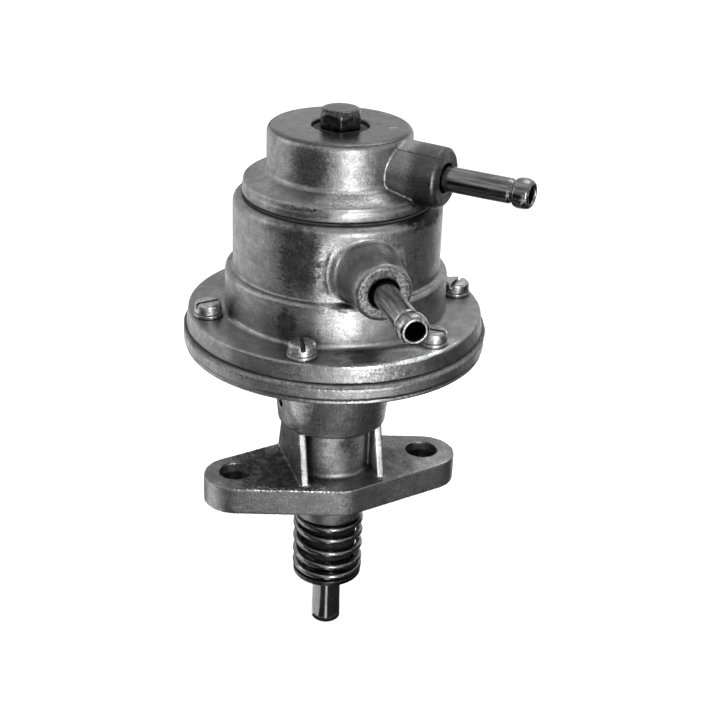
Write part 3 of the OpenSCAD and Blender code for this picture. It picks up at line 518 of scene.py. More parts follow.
# %% Casting finish
def casting_finish(name, tone, stains, faces, specks, lines=(), grain=1.0, seam=None, glossy_and_shaded_above=None):
    """Satin cast metal with grain, wipe marks, stains, painted highlights and shadows, grime and painted
    shade in corners, and worn edges.
    """
    material = new_material(name)
    tree = material.node_tree
    place = where_on(tree)
    colour, fine, middle, broad, wiped = cast_metal(tree, place, tone, grain)
    sparkle = fade(tree, speckle(tree, place, 0.5, 4.0, 0.75), 0.38, 0.62, 0.35, 1.0)
    colour = tone_faces_and_paint_light(tree, place, colour, faces, sparkle)
    colour = scatter_specks(tree, place, colour, tone, specks)
    split = tree.nodes.new("ShaderNodeSeparateXYZ")
    feed(tree, split.inputs[0], place)
    z = split.outputs["Z"]
    if seam is not None:
        off = sums(tree, "ABSOLUTE", minus(tree, z, seam * MM))
        line = times(tree, fade(tree, off, 0.3 * MM, 0.12 * MM), fade(tree, middle, 0.7, 0.4, 0.5, 1.0))
        colour = coat(tree, colour, line, 0.8, tone * 0.12)
    dark = stains_shade_and_lines(tree, place, stains, lines)
    dark = times(tree, dark, fade(tree, fine, 0.62, 0.36, 0.82, 1.0))
    dark = times(tree, dark, fade(tree, middle, 0.34, 0.56, 0.6, 1.0))
    colour = tint(tree, dark, colour, grey(tone * 0.1))
    # Grime and painted shade: the metal darkens deep in corners and holes.
    grime_and_shade = corner_grime_and_shade(tree, 3.0)
    colour = coat(tree, colour, grime_and_shade, 0.8, tone * 0.1)
    edge = times(tree, worn_edge(tree, 0.35), fade(tree, broad, 0.62, 0.42, 0.15, 1.0))
    edge = times(tree, edge, sparkle)
    edge = times(tree, edge, minus(tree, 1.0, grime_and_shade, True))
    colour = coat(tree, colour, edge, 0.8, min(0.8, tone * 2.6))
    sheen = fade(tree, middle, 0.3, 0.7, 0.31, 0.46)
    sheen = plus(tree, sheen, fade(tree, fine, 0.3, 0.7, -0.06, 0.06))
    sheen = plus(tree, sheen, times(tree, dark, 0.1))
    # Above the given height the cover's top face is glossier, and darker as painted shade.
    if glossy_and_shaded_above is not None:
        top = fade(tree, z, (glossy_and_shaded_above - 0.3) * MM, glossy_and_shaded_above * MM)
        sheen = minus(tree, sheen, times(tree, top, 0.2))
        colour = tint(tree, top, colour, grey(0.42), "MULTIPLY")
    height = plus(tree, times(tree, fine, 0.5), middle)
    height = plus(tree, height, times(tree, wiped, 0.3))
    return surface(material, colour, sheen, relief(tree, height, 0.75 * grain, 0.12))


def dress(node_name, material):
    """Put a finish on a node of the frame."""
    slots = nodes[node_name].data.materials
    slots.clear()
    slots.append(material)


# %% [markdown]
# ## Marks of the three castings
# The marks were read off the photograph and carried to the pump with the camera's numbers, so
# their places are points of the pump, in mm. The back, which the photograph doesn't show, has
# a few of the same kind. A stain is (centre, radii, depth), and a fourth number makes its
# border softer or harder. A face is (centre, radii, factor, softness), and its factor makes
# the metal brighter or darker. A field of specks is (centre, radii, darkest, brightest). A
# parting line lies in a plane: it is (normal, offset) of the plane and (centre, radii) of the
# stretch where the line shows.
# Some stains are painted shadows and painted dark reflections, and some faces are painted highlights and
# painted shade. Comments in the lists say which.

# %% Finish of the lower body
MOUNT_X = 26.35
SEAM_Z = 45.6
cast_lower = casting_finish(
    "cast_lower", 0.26, grain=1.35, seam=SEAM_Z,
    stains=[
        # The thin stain along the left rib's side face is painted shade.
        ((-12.3, -1, 14.5), (1.3, 16, 9.5), 0.9, 0.2),
        ((4, -11, 15), (2, 3, 2.5), 0.5),
        # The broad stain on the neck's right is a painted dark reflection.
        ((2.4, -15.5, 31), (13.4, 9, 10), 0.5, 0.1),
        ((1, -10.2, 17.5), (1.8, 2, 2.2), 0.8),
        # These two on the mount's top are painted shade under the neck and flange.
        ((-14.5, -1, 7.5), (12, 13, 0.8), 1.1),
        ((14, -4, 7.5), (9, 8, 1.2), 0.6),
        ((6, 15, 31), (8, 5, 9), 0.5)],
    faces=[
        ((-10.4, -13.2, 14), (1.8, 0.9, 9), 2.4, 0.1),
        ((10.4, -13.2, 14), (1.8, 0.9, 9), 2.0, 0.1),
        # The bright face on the neck's left is a painted reflection.
        ((-12, -11, 33), (3.5, 4.6, 9), 1.9, 0.12),
        # The bright end of the mount is a painted reflection.
        ((-33.2, -6.3, 3), (3, 3, 6), 1.35, 0.3),
        # The bright face on the waist is a painted highlight.
        ((-5, -9, 17), (3, 3, 6), 1.6, 0.4),
        ((7, -7.5, 14), (4, 4, 7), 2.4, 0.4),
        ((13, -9, 32), (5, 7, 9), 1.7, 0.4),
        ((22, -9, 3.5), (15, 8, 6), 1.4, 0.4),
        # The two mounting holes are painted shade inside.
        ((-MOUNT_X, 0, 3.2), (4.9, 4.9, 4.2), 0.12, 0.06),
        ((MOUNT_X, 0, 3.2), (4.9, 4.9, 4.2), 0.12, 0.06),
        ((-14, 14, 34), (6, 6, 8), 1.5, 0.4)],
    specks=[
        ((-21, -12.5, 7.5), (6, 3.5, 0.45), 0.4, 3.4),
        ((-11, -15, 7.5), (6, 3.5, 0.45), 0.4, 3.4)])
print("lower body's finish, with its seam at", SEAM_Z, "mm")

# %% Finish of the upper body
OUTLET_Z = 72.7
cast_upper = casting_finish(
    "cast_upper", 0.25,
    stains=[
        # The next three, on the drum and the step at the front left, are oil stains and painted dark
        # reflection together.
        ((-15.4, -20.8, 76), (5, 6, 9.5), 0.95, 0.2),
        ((-13.6, -22, 69), (5, 4.5, 3), 0.6, 0.2),
        ((-18.8, -21.3, 59), (2.8, 2.8, 4.4), 0.95, 0.3),
        ((-17, -19, 82.4), (8, 7, 2), 0.6),
        ((-5, -33, 54), (6, 4, 1), 0.7),
        # A painted shadow on the drum's top, under the cover's rim and the inlet boss.
        ((17, -20, 84.4), (8, 8, 3.2), 1.6, 0.3),
        # A painted shadow on the step's top, under the outlet boss.
        ((-5.4, -27.6, 64.5), (3.4, 3, 0.9), 0.9, 0.1),
        ((14, 21, 74), (7, 6, 9), 0.6),
        ((-22, 12, 60), (6, 6, 4), 0.6)],
    faces=[
        # A painted highlight on the drum beside the outlet boss's root.
        ((-9.4, -24, 72), (3.4, 3.6, 9), 2.4, 0.3),
        # A painted highlight on the step's wall.
        ((-7.5, -27.4, 60), (5, 4, 5), 1.9, 0.4),
        ((0, -34, OUTLET_Z), (9, 5.5, 9), 0.46, 0.15),
        ((2.5, -30, 79.5), (1.6, 4.5, 1.6), 2.2, 0.5),
        # The boss's left side is darkened as a painted dark reflection, and beside it lies a painted shadow.
        ((-6, -32, OUTLET_Z), (3, 5.5, 6), 0.4, 0.3),
        ((-9, -25.6, OUTLET_Z), (1.6, 1.4, 7), 0.35, 0.3),
        ((9, -35, 54), (8, 4.5, 0.9), 5.0, 0.25),
        ((18, -31, 54), (6, 4, 0.9), 1.6, 0.4),
        # Painted shade at the step's foot.
        ((4, -34.5, 54), (10, 3, 0.8), 0.4, 0.3),
        ((-8, 24.5, 76), (7, 5, 9), 1.8, 0.5)],
    specks=[
        ((0, -39.2, OUTLET_Z), (7.4, 0.5, 7.4), 0.15, 0.8),
        ((-4, -38.3, 53.9), (10, 1.8, 0.8), 0.4, 3.0),
        ((4, -39, 51.4), (12, 2, 2.2), 0.35, 1.15)])
print("upper body's finish, with its outlet at", OUTLET_Z, "mm")

# %% Finish of the cover
INLET_Z = 93.45
COVER_TOP = 102
PARTING = ((0.7071, 0.7071, 0), -4.3, (14.5, -17, 99.5), (7, 7, 3.5))
cast_cover = casting_finish(
    "cast_cover", 0.25, lines=[PARTING], glossy_and_shaded_above=COVER_TOP - 0.5,
    stains=[
        # The stain on the dome's front left is an oil stain and painted dark reflection together.
        ((-11.5, -14, 96), (5, 5, 5), 0.85, 0.35),
        ((-14, -19, 86.5), (8, 5, 1), 0.7),
        ((13.5, -20.5, 88.2), (2.5, 2.5, 2), 0.9),
        ((7.6, -13.5, 89.4), (1.2, 1.5, 2), 0.9, 0.1),
        ((9.2, -1.2, COVER_TOP), (1.8, 0.7, 0.8), 0.8, 0.1),
        ((9, 15, 95), (6, 5, 6), 0.5)],
    faces=[
        ((19, -19, INLET_Z), (8.8, 8.8, 9), 0.24, 0.1),
        ((9, 0, COVER_TOP), (10, 16, 1), 0.48, 0.4),
        ((21, -21, INLET_Z), (2.3, 2.3, 7.0), 2.0, 0.1),
        # A painted highlight along the cover's shoulder.
        ((-2.3, -19.6, 89.6), (8.5, 3.5, 1.3), 2.8, 0.4),
        ((-15, 12, 95), (6, 6, 7), 1.6, 0.4)],
    specks=[
        ((-15.2, -19.1, 87.6), (5, 4.5, 0.5), 0.15, 1.5),
        ((11.9, -5.3, COVER_TOP), (1.2, 0.6, 0.6), 1.0, 3.5)])
print("cover's finish, glossy above", COVER_TOP - 0.5, "mm")


# %% [markdown]
# ## Rounding the castings
# The frame's castings have crisp corners. A real casting has none: each edge is rounded by a
# few tenths of a millimetre, and each wall is slightly wavy. A Bevel modifier works on clean
# quads, but these meshes come from solids with long thin triangles, so the corners would
# tear. A voxel remesh gives an even skin first, and a little smoothing then melts the
# corners. A faint cloud of displacement makes the walls as uneven as a mould leaves them.

# %% Rounded castings
def melt_corners(node, voxel, passes, wave=0.0, wave_size=9.0):
    """Even skin, soft corners and a wavy surface, as modifiers on a node of the frame."""
    skin = node.modifiers.new("even_skin", "REMESH")
    skin.mode = "VOXEL"
    skin.voxel_size = voxel * MM
    skin.use_smooth_shade = True
    soft = node.modifiers.new("soft_corners", "SMOOTH")
    soft.factor = 0.5
    soft.iterations = passes
    if wave:
        clouds = bpy.data.textures.new(node.name + "_mould", "CLOUDS")
        clouds.noise_scale = wave_size * MM
        clouds.noise_depth = 2
        uneven = node.modifiers.new("uneven_mould", "DISPLACE")
        uneven.texture = clouds
        uneven.texture_coords = "LOCAL"
        uneven.strength = wave * MM
        uneven.mid_level = 0.5


for name, finish in (("lower_body", cast_lower), ("upper_body", cast_upper), ("top_cover", cast_cover)):
    melt_corners(nodes[name], 0.3, 2, wave=0.1)
    dress(name, finish)
    print(name, "rounded")

# %% [markdown]
# ## Turned and wound pieces
# The stubs, the seat, the washer and the gasket are round. The real ones are turned, rolled
# or punched, and here each is a profile that goes round an axis. Blender's Screw modifier
# could turn a profile too, but a few lines of mesh code place the piece straight in the
# pump's frame, and let each profile corner be rounded by its own radius. A rounded corner is
# what catches a line of light. The springs are made by sweeping a circle along a path.

# %% Lathe and winder
def rounded(corners, steps=4):
    """Points of a closed profile. Each corner is (radius, height, rounding), in mm."""
    points = []
    for i, (r, z, size) in enumerate(corners):
        here = Vector((r, z))
        if size == 0:
            points.append((r, z))
            continue
        before = Vector(corners[i - 1][:2]) - here
        after = Vector(corners[(i + 1) % len(corners)][:2]) - here
        reach = min(size, before.length * 0.48, after.length * 0.48)
        a = here + before.normalized() * reach
        b = here + after.normalized() * reach
        for k in range(steps + 1):
            t = k / steps
            p = a * (1 - t) ** 2 + here * (2 * t * (1 - t)) + b * t ** 2
            points.append((p.x, p.y))
    return points


def add_piece(name, points, faces, finish, body, replaced, sharp=50):
    """Make a mesh piece that stands for a node. It rides on a body when one is given."""
    mesh = bpy.data.meshes.new(name)
    mesh.from_pydata([Vector(p) * MM for p in points], [], faces)
    mesh.validate()
    mesh.shade_smooth()
    mesh.set_sharp_from_angle(angle=math.radians(sharp))
    piece = bpy.data.objects.new(name, mesh)
    scene.collection.objects.link(piece)
    mesh.materials.append(finish)
    if body:
        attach(piece, body)
    if replaced:
        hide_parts(replaced)
    return piece


def frame_along(place, along):
    """Turns (across, up, along) of a turned piece into the pump's frame."""
    axis = Vector(along).normalized()
    side = Vector((0, 0, 1)) if abs(axis.z) < 0.9 else Vector((1, 0, 0))
    u = side.cross(axis).normalized()
    v = axis.cross(u)
    return lambda x, y, z: Vector(place) + u * x + v * y + axis * z


def lathe(profile, place=(0, 0, 0), along=(0, 0, 1), sides=96, wobble=None):
    """Points and faces of a closed profile turned about an axis."""
    put = frame_along(place, along)
    n = len(profile)
    points, faces = [], []
    for i in range(sides):
        a = 2 * math.pi * i / sides
        for r, z in profile:
            r2 = r + (wobble(a, r, z) if wobble else 0.0)
            points.append(put(r2 * math.cos(a), r2 * math.sin(a), z))
    for i in range(sides):
        k = (i + 1) % sides
        for j in range(n):
            m = (j + 1) % n
            faces.append((i * n + j, k * n + j, k * n + m, i * n + m))
    return points, faces


def wind(path, wire, low, high, sides=16):
    """A round wire along a path about the Z axis, ground flat at low and high."""
    points, faces = [], []
    for i, (r, a, z) in enumerate(path):
        for j in range(sides):
            b = 2 * math.pi * j / sides
            rr = r + wire / 2 * math.cos(b)
            zz = min(max(z + wire / 2 * math.sin(b), low), high)
            points.append((rr * math.cos(a), rr * math.sin(a), zz))
    last = (len(path) - 1) * sides
    for i in range(len(path) - 1):
        for j in range(sides):
            k = (j + 1) % sides
            faces.append((i * sides + j, (i + 1) * sides + j, (i + 1) * sides + k, i * sides + k))
    faces.append(tuple(range(sides)))
    faces.append(tuple(last + j for j in range(sides - 1, -1, -1)))
    return points, faces


print("lathe and winder ready")

# %% [markdown]
# ## Finishes of the small pieces
# Each of these is metal, rubber or fibre with its own marks. Drawn tube has lines along it,
# a wound wire is dark and oily, and the screw heads are zinc plated and scuffed. One recipe
# makes them all from a tone, a roughness, a grain and the amount of grime and painted shade
# in the corners. The lines of drawn and ground steel come from noise that is stretched along
# the piece.

# %% Steel and rubber finishes
def steel_finish(name, tone, sheen, grain=1.5, stretch=(1, 1, 1), marks=0.3, grime_and_shade=0.6, edge=0.5, bump=0.1,
                 metallic=1.0, turn=0.0):
    """Metal or rubber with stretched marks, grime and painted shade in its corners, and rubbed edges."""
    material = new_material(name)
    tree = material.node_tree
    place = where_on(tree)
    turned = add_node(tree, "ShaderNodeVectorRotate", Angle=math.radians(turn))
    turned.rotation_type = "Z_AXIS"
    feed(tree, turned.inputs["Vector"], place)
    pulled = vector_sums(tree, "MULTIPLY", turned.outputs[0], stretch)
    lines = speckle(tree, pulled.outputs["Vector"], grain, 4.0, 0.6)
    smudge = speckle(tree, place, 4.0, 5.0, 0.6, 0.5)
    colour = tint(tree, fade(tree, lines, 0.3, 0.7), grey(tone * (1 - marks)), grey(tone * (1 + marks)))
    colour = tint(tree, fade(tree, smudge, 0.5, 0.75, 0.0, marks), colour, grey(tone * 0.45))
    # Grime and painted shade deep in corners.
    colour = coat(tree, colour, corner_grime_and_shade(tree, 1.6), grime_and_shade, 0.015)
    colour = coat(tree, colour, worn_edge(tree, 0.2), edge, min(0.85, tone * 2.2))
    rough = fade(tree, smudge, 0.3, 0.7, sheen * 0.75, min(1.0, sheen * 1.4))
    normal = relief(tree, plus(tree, lines, smudge), bump, 0.06)
    return surface(material, colour, rough, normal, metallic)


# The inlet tube is toned darker than the outlet tube, as a painted dark reflection along it.
inlet_tube_painted_dark = steel_finish("inlet_tube_painted_dark", 0.15, 0.2, 0.7, (0.06, 1.0, 1.0), marks=0.5, edge=0.2, turn=45)
outlet_tube = steel_finish("outlet_tube", 0.22, 0.22, 0.7, (1.0, 0.08, 1.0), marks=0.5, edge=0.2)
ground_steel = steel_finish("ground_steel", 0.36, 0.14, 0.4, (3.0, 3.0, 0.12), marks=0.3)
screw_zinc = steel_finish("screw_zinc", 0.32, 0.38, 0.8, marks=0.4, grime_and_shade=0.9, edge=0.5, bump=0.4)
bolt_steel = steel_finish("bolt_steel", 0.05, 0.24, 0.9, marks=0.7, grime_and_shade=0.7, edge=0.35, bump=0.4)
spring_wire = steel_finish("spring_wire", 0.17, 0.22, 0.6, marks=0.35, grime_and_shade=0.7, edge=0.0)
plated_steel = steel_finish("plated_steel", 0.5, 0.3, 1.0, marks=0.15)
dark_steel = steel_finish("dark_steel", 0.07, 0.3, 0.8, marks=0.4, edge=0.5)
oily_plastic = steel_finish("oily_plastic", 0.012, 0.16, 1.5, marks=0.3, edge=0.1, metallic=0.0)
seal_rubber = steel_finish("seal_rubber", 0.025, 0.5, 0.8, marks=0.3, edge=0.15, metallic=0.0)
oily_plastic.node_tree.nodes["Principled BSDF"].inputs["IOR"].default_value = 1.3
gasket_fibre = steel_finish("gasket_fibre", 0.02, 0.7, 0.5, marks=0.4, edge=0.1, bump=0.5, metallic=0.0)
print("small finishes made")


# %% Brass and bronze
def yellow_metal(name, colour, sheen):
    """Brass or bronze with a brown film in patches."""
    material = new_material(name)
    tree = material.node_tree
    place = where_on(tree)
    film = speckle(tree, place, 3.0, 5.0, 0.6, 0.4)
    shade = tuple(c * 0.5 for c in colour) + (1,)
    mixed = tint(tree, fade(tree, film, 0.4, 0.7, 0.0, 0.7), (*colour, 1), shade)
    # Grime and painted shade deep in corners.
    mixed = coat(tree, mixed, corner_grime_and_shade(tree, 1.5), 0.6, 0.02)
    rough = fade(tree, film, 0.3, 0.7, sheen, sheen * 1.5)
    normal = relief(tree, speckle(tree, place, 0.5, 3.0), 0.1, 0.05)
    return surface(material, mixed, rough, normal)


brass = yellow_metal("brass", (0.60, 0.45, 0.18), 0.28)
bronze = yellow_metal("bronze", (0.50, 0.32, 0.16), 0.32)
print("brass and bronze made")

# %% [markdown]
# ## Hose stubs
# Each stub is a steel tube pressed into its boss, with a bead rolled at the end that keeps
# the hose on. Behind the bead the roller has left a narrow groove, and the mouth is turned
# over a little, so that a bright ring shows round the dark bore.

# %% Stubs
INLET_ANGLE = -45
OUTLET_ANGLE = -90
STUB_PRESS = 9.5
END_LENGTH = 5.0  # of the groove and the bead
TUBE_R, BEAD_R, BORE_R = 3.1, 3.75, 2.25
# A stub is its compass angle, its height, the reach of its boss, the reach of its tip and its finish.
STUBS = {"inlet_stub": (INLET_ANGLE, INLET_Z, 29.3, 51.6, inlet_tube_painted_dark),
         "outlet_stub": (OUTLET_ANGLE, OUTLET_Z, 39.2, 61.3, outlet_tube)}

for name, (angle, height, reach, tip, finish) in STUBS.items():
    root = reach - STUB_PRESS
    neck = tip - END_LENGTH
    profile = rounded([
        (BORE_R, root, 0.1), (TUBE_R - 0.05, root, 0.3), (TUBE_R - 0.05, reach, 0), (TUBE_R, reach, 0),
        (TUBE_R, neck - 0.5, 0.5), (TUBE_R - 0.3, neck + 0.15, 0.3), (TUBE_R - 0.3, neck + 0.6, 0.25),
        (BEAD_R - 0.25, neck + 1.0, 0.35), (BEAD_R, neck + 2.0, 0.5), (BEAD_R, tip - 1.5, 0.9),
        (BEAD_R - 0.35, tip - 0.4, 0.5), (BEAD_R - 0.85, tip, 0.35), (BORE_R + 0.2, tip, 0.3),
        (BORE_R, tip - 0.5, 0.2)], 5)
    a = math.radians(angle)
    points, faces = lathe(profile, (0, 0, height), (math.cos(a), math.sin(a), 0), 96)
    add_piece(name + "_tube", points, faces, finish, "housing", name)
    print(name, len(faces), "faces")

# %% [markdown]
# ## The cover bolt and its washer
# One hexagon bolt holds the cover down. Its head is forged, so the corners are soft, the top
# is domed by a chamfer and the whole head is dark with oil. A prism would look machined. Each
# ring of the head is instead the smaller of the hexagon and a circle that narrows towards the
# top, which gives the curved chamfer lines of a real hexagon head.

# %% Cover bolt
BOLT_SEAT, BOLT_HEAD_H, BOLT_AF, BOLT_TURN = 101.35, 4.9, 10.0, 13.0
BOLT_LEN, BOLT_SHANK_R = 30.0, 2.98
CORNER_REACH = 0.565 * BOLT_AF  # how far a corner stands out before it is rubbed off
CORNER_LEFT = 0.35  # share of a corner that is left beyond that
CHAMFER_H, CHAMFER_R, TOP_R = 1.7, 5.8, 4.05
FOOT_H, FOOT_R, FOOT_SPREAD = 0.5, 5.0, 0.9
MEET = 14  # how sharply the hexagon and the chamfer meet


def hexagon(angle):
    """Distance from the centre to the side of the bolt's hexagon, with soft corners."""
    turn = (math.degrees(angle) - BOLT_TURN + 30) % 60 - 30
    sharp = BOLT_AF / 2 / math.cos(math.radians(abs(turn) - 30))
    return sharp if sharp < CORNER_REACH else CORNER_REACH + (sharp - CORNER_REACH) * CORNER_LEFT


def stack(rings, sides=96):
    """Points and faces of rings of radius functions, closed at both ends."""
    points, faces = [], []
    for reach, z in rings:
        for i in range(sides):
            a = 2 * math.pi * i / sides
            r = reach(a) if callable(reach) else reach
            points.append((r * math.cos(a), r * math.sin(a), z))
    for k in range(len(rings) - 1):
        for i in range(sides):
            j = (i + 1) % sides
            faces.append((k * sides + i, k * sides + j, (k + 1) * sides + j, (k + 1) * sides + i))
    faces.append(tuple(range(sides - 1, -1, -1)))
    top = (len(rings) - 1) * sides
    faces.append(tuple(top + i for i in range(sides)))
    return points, faces


def head_ring(z):
    """One ring of the bolt head: a hexagon cut by its chamfer and its domed top."""
    up = z - BOLT_SEAT
    edge = max(0.0, BOLT_HEAD_H - up)
    cone = TOP_R + (CHAMFER_R - TOP_R) * math.sqrt(min(1.0, edge / CHAMFER_H))
    foot = FOOT_R + FOOT_SPREAD * min(1.0, up / FOOT_H)
    return lambda a: min((hexagon(a) ** -MEET + cone ** -MEET) ** (-1 / MEET), foot)


head_levels = [0.0, 0.2, 0.5, 1.0, 2.0, 2.8, 3.2, 3.5, 3.8, 4.1, 4.35, 4.55, 4.7, 4.82, BOLT_HEAD_H]
rings = [(BOLT_SHANK_R - 0.8, BOLT_SEAT - BOLT_LEN), (BOLT_SHANK_R, BOLT_SEAT - BOLT_LEN + 0.8),
         (BOLT_SHANK_R, BOLT_SEAT - 0.3), (BOLT_SHANK_R + 0.15, BOLT_SEAT)]
rings += [(head_ring(BOLT_SEAT + h), BOLT_SEAT + h) for h in head_levels]
rings += [(3.2, BOLT_SEAT + BOLT_HEAD_H), (1.6, BOLT_SEAT + BOLT_HEAD_H)]
points, faces = stack(rings)
add_piece("cover_bolt_forged", points, faces, bolt_steel, "housing", "cover_bolt", sharp=28)
WASHER_LOW, WASHER_BORE_R, WASHER_R = 100.35, 3.2, 6.3
profile = rounded([(WASHER_BORE_R, WASHER_LOW, 0.1), (WASHER_R, WASHER_LOW, 0.25),
                   (WASHER_R, BOLT_SEAT - 0.05, 0.35), (WASHER_BORE_R, BOLT_SEAT, 0.1)])
points, faces = lathe(profile)
add_piece("bolt_washer_ring", points, faces, gasket_fibre, "housing", "bolt_washer")
print("bolt", round(BOLT_SEAT + BOLT_HEAD_H, 2), "mm high at its top")

# %% [markdown]
# ## Screws and spring washers
# Six slotted cheese head screws clamp the two halves on the diaphragm. The frame's own nodes
# have the right slots and the right turn, so they stay. A fine remesh and smoothing takes the
# machined corners off, as a screwdriver does, and a little displacement gives the burrs.

# %% Screws
dress("flange_screws", screw_zinc)
melt_corners(nodes["flange_screws"], 0.16, 2, wave=0.14, wave_size=1.6)
dress("screw_washers", screw_zinc)
melt_corners(nodes["screw_washers"], 0.14, 1)
print("six screws and washers worn")

# %% [markdown]
# ## The diaphragm
# The diaphragm is rubber-proofed cloth. Its rim is clamped between the two flanges, and
# squeezes out unevenly into the dark line that the photograph shows. Its middle moves with
# the rod, and the ring between them bends. A ring can't bend along one straight line, so it
# is cut in narrow sectors, and each sector is curved down from the clamped rim to the
# gripped middle along its own spoke.

# %% Diaphragm finish and pieces
CLAMP_Z, DIA_T, MID_LOW = 48.3, 1.0, 46.3
EDGE_R, FREE_R, GRIP_R, HOLE_R = 39.5, 28.5, 20.0, 2.7
cloth_rubber = steel_finish("diaphragm_cloth", 0.1, 0.6, 0.35, (1, 1, 0.4), marks=0.6, grime_and_shade=0.9, edge=0.2,
                            bump=0.6, metallic=0.0)


def squeezed(a, r, z):
    """The clamped edge stands out by a different amount all round."""
    if r < EDGE_R - 1:
        return 0.0
    return -0.28 + 0.16 * math.sin(5 * a + 1) + 0.07 * math.sin(13 * a) + 0.05 * math.sin(31 * a + 2)


rim_profile = rounded([(FREE_R, CLAMP_Z, 0), (EDGE_R, CLAMP_Z, 0.18), (EDGE_R, CLAMP_Z + DIA_T, 0.18),
                       (FREE_R, CLAMP_Z + DIA_T, 0)])
points, faces = lathe(rim_profile, sides=360, wobble=squeezed)
add_piece("diaphragm_rim", points, faces, cloth_rubber, "housing", "diaphragm")

SECTORS = 24


def bent_height(r):
    """Height of the cloth's underside between the clamped rim and the gripped middle."""
    t = min(1.0, max(0.0, (FREE_R - r) / (FREE_R - GRIP_R)))
    s = t * t * (3 - 2 * t)
    return CLAMP_Z + (MID_LOW - CLAMP_Z) * s


def cloth_sector(start, end, inner, outer, rings, steps):
    """A sector of the cloth with real thickness."""
    points, faces = [], []
    for side in (0, 1):
        for k in range(rings + 1):
            r = outer + (inner - outer) * k / rings
            for i in range(steps + 1):
                a = start + (end - start) * i / steps
                points.append((r * math.cos(a), r * math.sin(a), bent_height(r) + side * DIA_T))
    row = steps + 1
    layer = (rings + 1) * row
    for k in range(rings):
        for i in range(steps):
            p = k * row + i
            faces.append((p, p + 1, p + row + 1, p + row))
            faces.append((layer + p, layer + p + row, layer + p + row + 1, layer + p + 1))
    return points, faces


for s in range(SECTORS):
    a0, a1 = 2 * math.pi * s / SECTORS, 2 * math.pi * (s + 1) / SECTORS
    points, faces = cloth_sector(a0, a1, GRIP_R, FREE_R, 10, 4)
    name = f"diaphragm_spoke_{s + 1:02d}"
    piece = add_piece(name, points, faces, cloth_rubber, None, "diaphragm")
    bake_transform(piece)

middle_profile = [(HOLE_R, MID_LOW), (GRIP_R, MID_LOW), (GRIP_R, MID_LOW + DIA_T), (HOLE_R, MID_LOW + DIA_T)]
points, faces = lathe(middle_profile)
add_piece("diaphragm_middle", points, faces, cloth_rubber, "diaphragm_assembly", "diaphragm")
print("diaphragm in", SECTORS + 2, "pieces")

# %% [markdown]
# ## The cover's gasket
# A thin fibre ring seals the cover on the drum. Only its dark edge shows, squeezed out a
# little more in one place than in another.

# %% Cover gasket
GASKET_LOW, GASKET_TOP = 84.1, 84.6
GASKET_BORE_R, GASKET_R = 20.9, 24.35


def gasket_edge(a, r, z):
    """The squeezed edge of the gasket stands out by a different amount all round."""
    return 0.08 * math.sin(7 * a) - 0.1 if r > GASKET_R - 1 else 0.0


profile = rounded([(GASKET_BORE_R, GASKET_LOW, 0.05), (GASKET_R, GASKET_LOW, 0.12),
                   (GASKET_R, GASKET_TOP, 0.12), (GASKET_BORE_R, GASKET_TOP, 0.05)])
points, faces = lathe(profile, sides=240, wobble=gasket_edge)
add_piece("cover_gasket_ring", points, faces, gasket_fibre, "housing", "cover_gasket")
print("gasket", round(GASKET_TOP - GASKET_LOW, 2), "mm thick")

# %% [markdown]
# ## Springs
# The return spring round the nose has its coils closer at both ends, where the last turns lie
# flat on the pilot boss and on the seat. The path is worked out turn by turn, with the pitch
# easing in and out at the ends, and the wire is ground flat on the outside of both end
# turns. When the cam pushes the plunger up, the coils close.

# %% Springs
def coil_path(high, length, outer, wire, turns, top, foot, start, hand=1, per_turn=48):
    """Centre line of a spring from its top down, as (radius, angle, height). Hand -1 is left-handed.

    The top and the foot are how many turns the pitch takes to ease in and out.
    """
    r = outer / 2 - wire / 2
    pitch = (length - wire) / (turns - top / 2 - foot / 2)
    path = []
    count = math.ceil(turns * per_turn)
    for i in range(count + 1):
        t = turns * i / count
        if t < top:
            share = t * t / (2 * top)
        elif t > turns - foot:
            share = t - top / 2 - (t - turns + foot) ** 2 / (2 * foot)
        else:
            share = t - top / 2
        path.append((r, math.radians(start - hand * 360 * t), high - wire / 2 - pitch * share))
    return path


PILOT_Z, SPRING_LEN, RETURN_WIRE = -8.2, 17.8, 1.9
path = coil_path(PILOT_Z, SPRING_LEN, outer=19.5, wire=RETURN_WIRE, turns=4.87, top=1.1, foot=1.1, start=88,
                 hand=-1)
points, faces = wind(path, RETURN_WIRE, PILOT_Z - SPRING_LEN, PILOT_Z)
piece = add_piece("plunger_spring_wire", points, faces, spring_wire, None, "plunger_spring")
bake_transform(piece)

DELIVERY_TOP, DELIVERY_LOW, DELIVERY_WIRE = 45.08, 29.02, 1.6
path = coil_path(DELIVERY_TOP, DELIVERY_TOP - DELIVERY_LOW, outer=18.6, wire=DELIVERY_WIRE, turns=4.5, top=1,
                 foot=1, start=0)
points, faces = wind(path, DELIVERY_WIRE, DELIVERY_LOW, DELIVERY_TOP)
piece = add_piece("delivery_spring_wire", points, faces, spring_wire, None, "delivery_spring")
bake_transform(piece)

VALVE_OFFSET, VALVE_COIL, VALVE_WIRE = 13.0, 5.6, 0.5


def valve_coil(name, side, low, high):
    """The small spring of one valve, between its bridge and its disc."""
    path = coil_path(high, high - low, VALVE_COIL, VALVE_WIRE, 3, 0.8, 0.8, 0, per_turn=32)
    points, faces = wind(path, VALVE_WIRE, low, high, 10)
    points = [(x, y + side * VALVE_OFFSET, z) for x, y, z in points]
    return add_piece(name + "_coil", points, faces, brass, None, name)


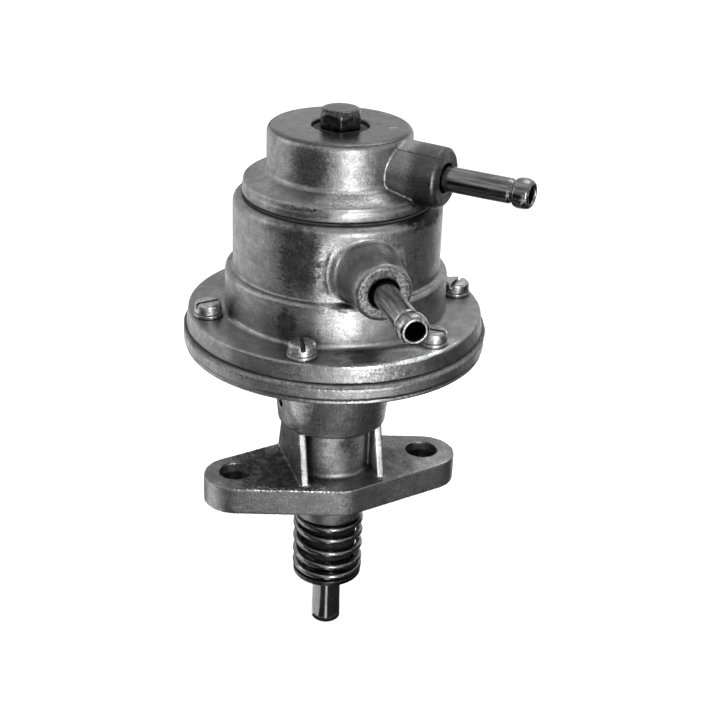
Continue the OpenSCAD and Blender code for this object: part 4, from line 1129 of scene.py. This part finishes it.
for name, body in (("inlet_valve_spring", "inlet_valve"), ("outlet_valve_spring", "outlet_valve")):
    low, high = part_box(name)[0][2] / MM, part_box(name)[1][2] / MM
    side = 1 if name.startswith("inlet") else -1
    piece = valve_coil(name, side, low, high)
    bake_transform(piece)
print("four springs wound")

# %% [markdown]
# ## Plunger, seat and nose sleeve
# The plunger is ground steel and the brightest thing under the pump. Its seat is a dark
# turned ring, and the black sleeve above it keeps dirt off the plunger. The plunger's node
# has a slot and a groove that stay hidden, and the sleeve's node has its steps already, so
# both stay and only get their finish. The seat is turned again with softer corners.

# %% Nose pieces
SEAT_BORE_R, SEAT_TUBE_R, SEAT_RIM_R = 4.03, 6.6, 9.55
dress("plunger", ground_steel)
seat = rounded([
    (SEAT_BORE_R, -26.3, 0), (SEAT_TUBE_R, -26.3, 0.1), (7.0, -27.6, 0.1), (SEAT_RIM_R, -27.6, 0.75),
    (SEAT_RIM_R, -26.0, 0.15), (7.7, -26.0, 0.1), (7.1, -25.3, 0.1), (SEAT_TUBE_R, -25.3, 0.1),
    (SEAT_TUBE_R, -18.3, 0.3), (SEAT_BORE_R, -18.3, 0.1)])
points, faces = lathe(seat)
add_piece("spring_seat_turned", points, faces, dark_steel, "plunger_assembly", "spring_seat")
box_low, box_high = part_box("nose_sleeve")
print("sleeve from", round(box_low[2] / MM, 2), "to", round(box_high[2] / MM, 2), "mm")
dress("nose_sleeve", oily_plastic)

# %% [markdown]
# ## What is out of sight
# The pump's inside is only seen when it is taken apart, but each piece still gets the finish
# that it has in a new pump: plated steel for the plates, brass for the valves and bronze for
# the guide.

# %% Inner finishes
INNER = {"guide_bush": bronze, "rod_seal": seal_rubber, "seal_retainer": plated_steel,
         "seat_clip": dark_steel, "link_pin": ground_steel, "diaphragm_rod": plated_steel,
         "lower_plate": plated_steel, "upper_plate": plated_steel, "diaphragm_nut": plated_steel,
         "inlet_valve_cage": brass, "outlet_valve_cage": brass,
         "inlet_valve_disc": seal_rubber, "outlet_valve_disc": seal_rubber,
         "strainer_frame": brass, "strainer_gauze": brass}
for name, finish in INNER.items():
    dress(name, finish)
print(len(INNER), "inner pieces finished")

# %% Sizes and finish
print("frame", [[round(v, 4) for v in c] for c in cad_box])
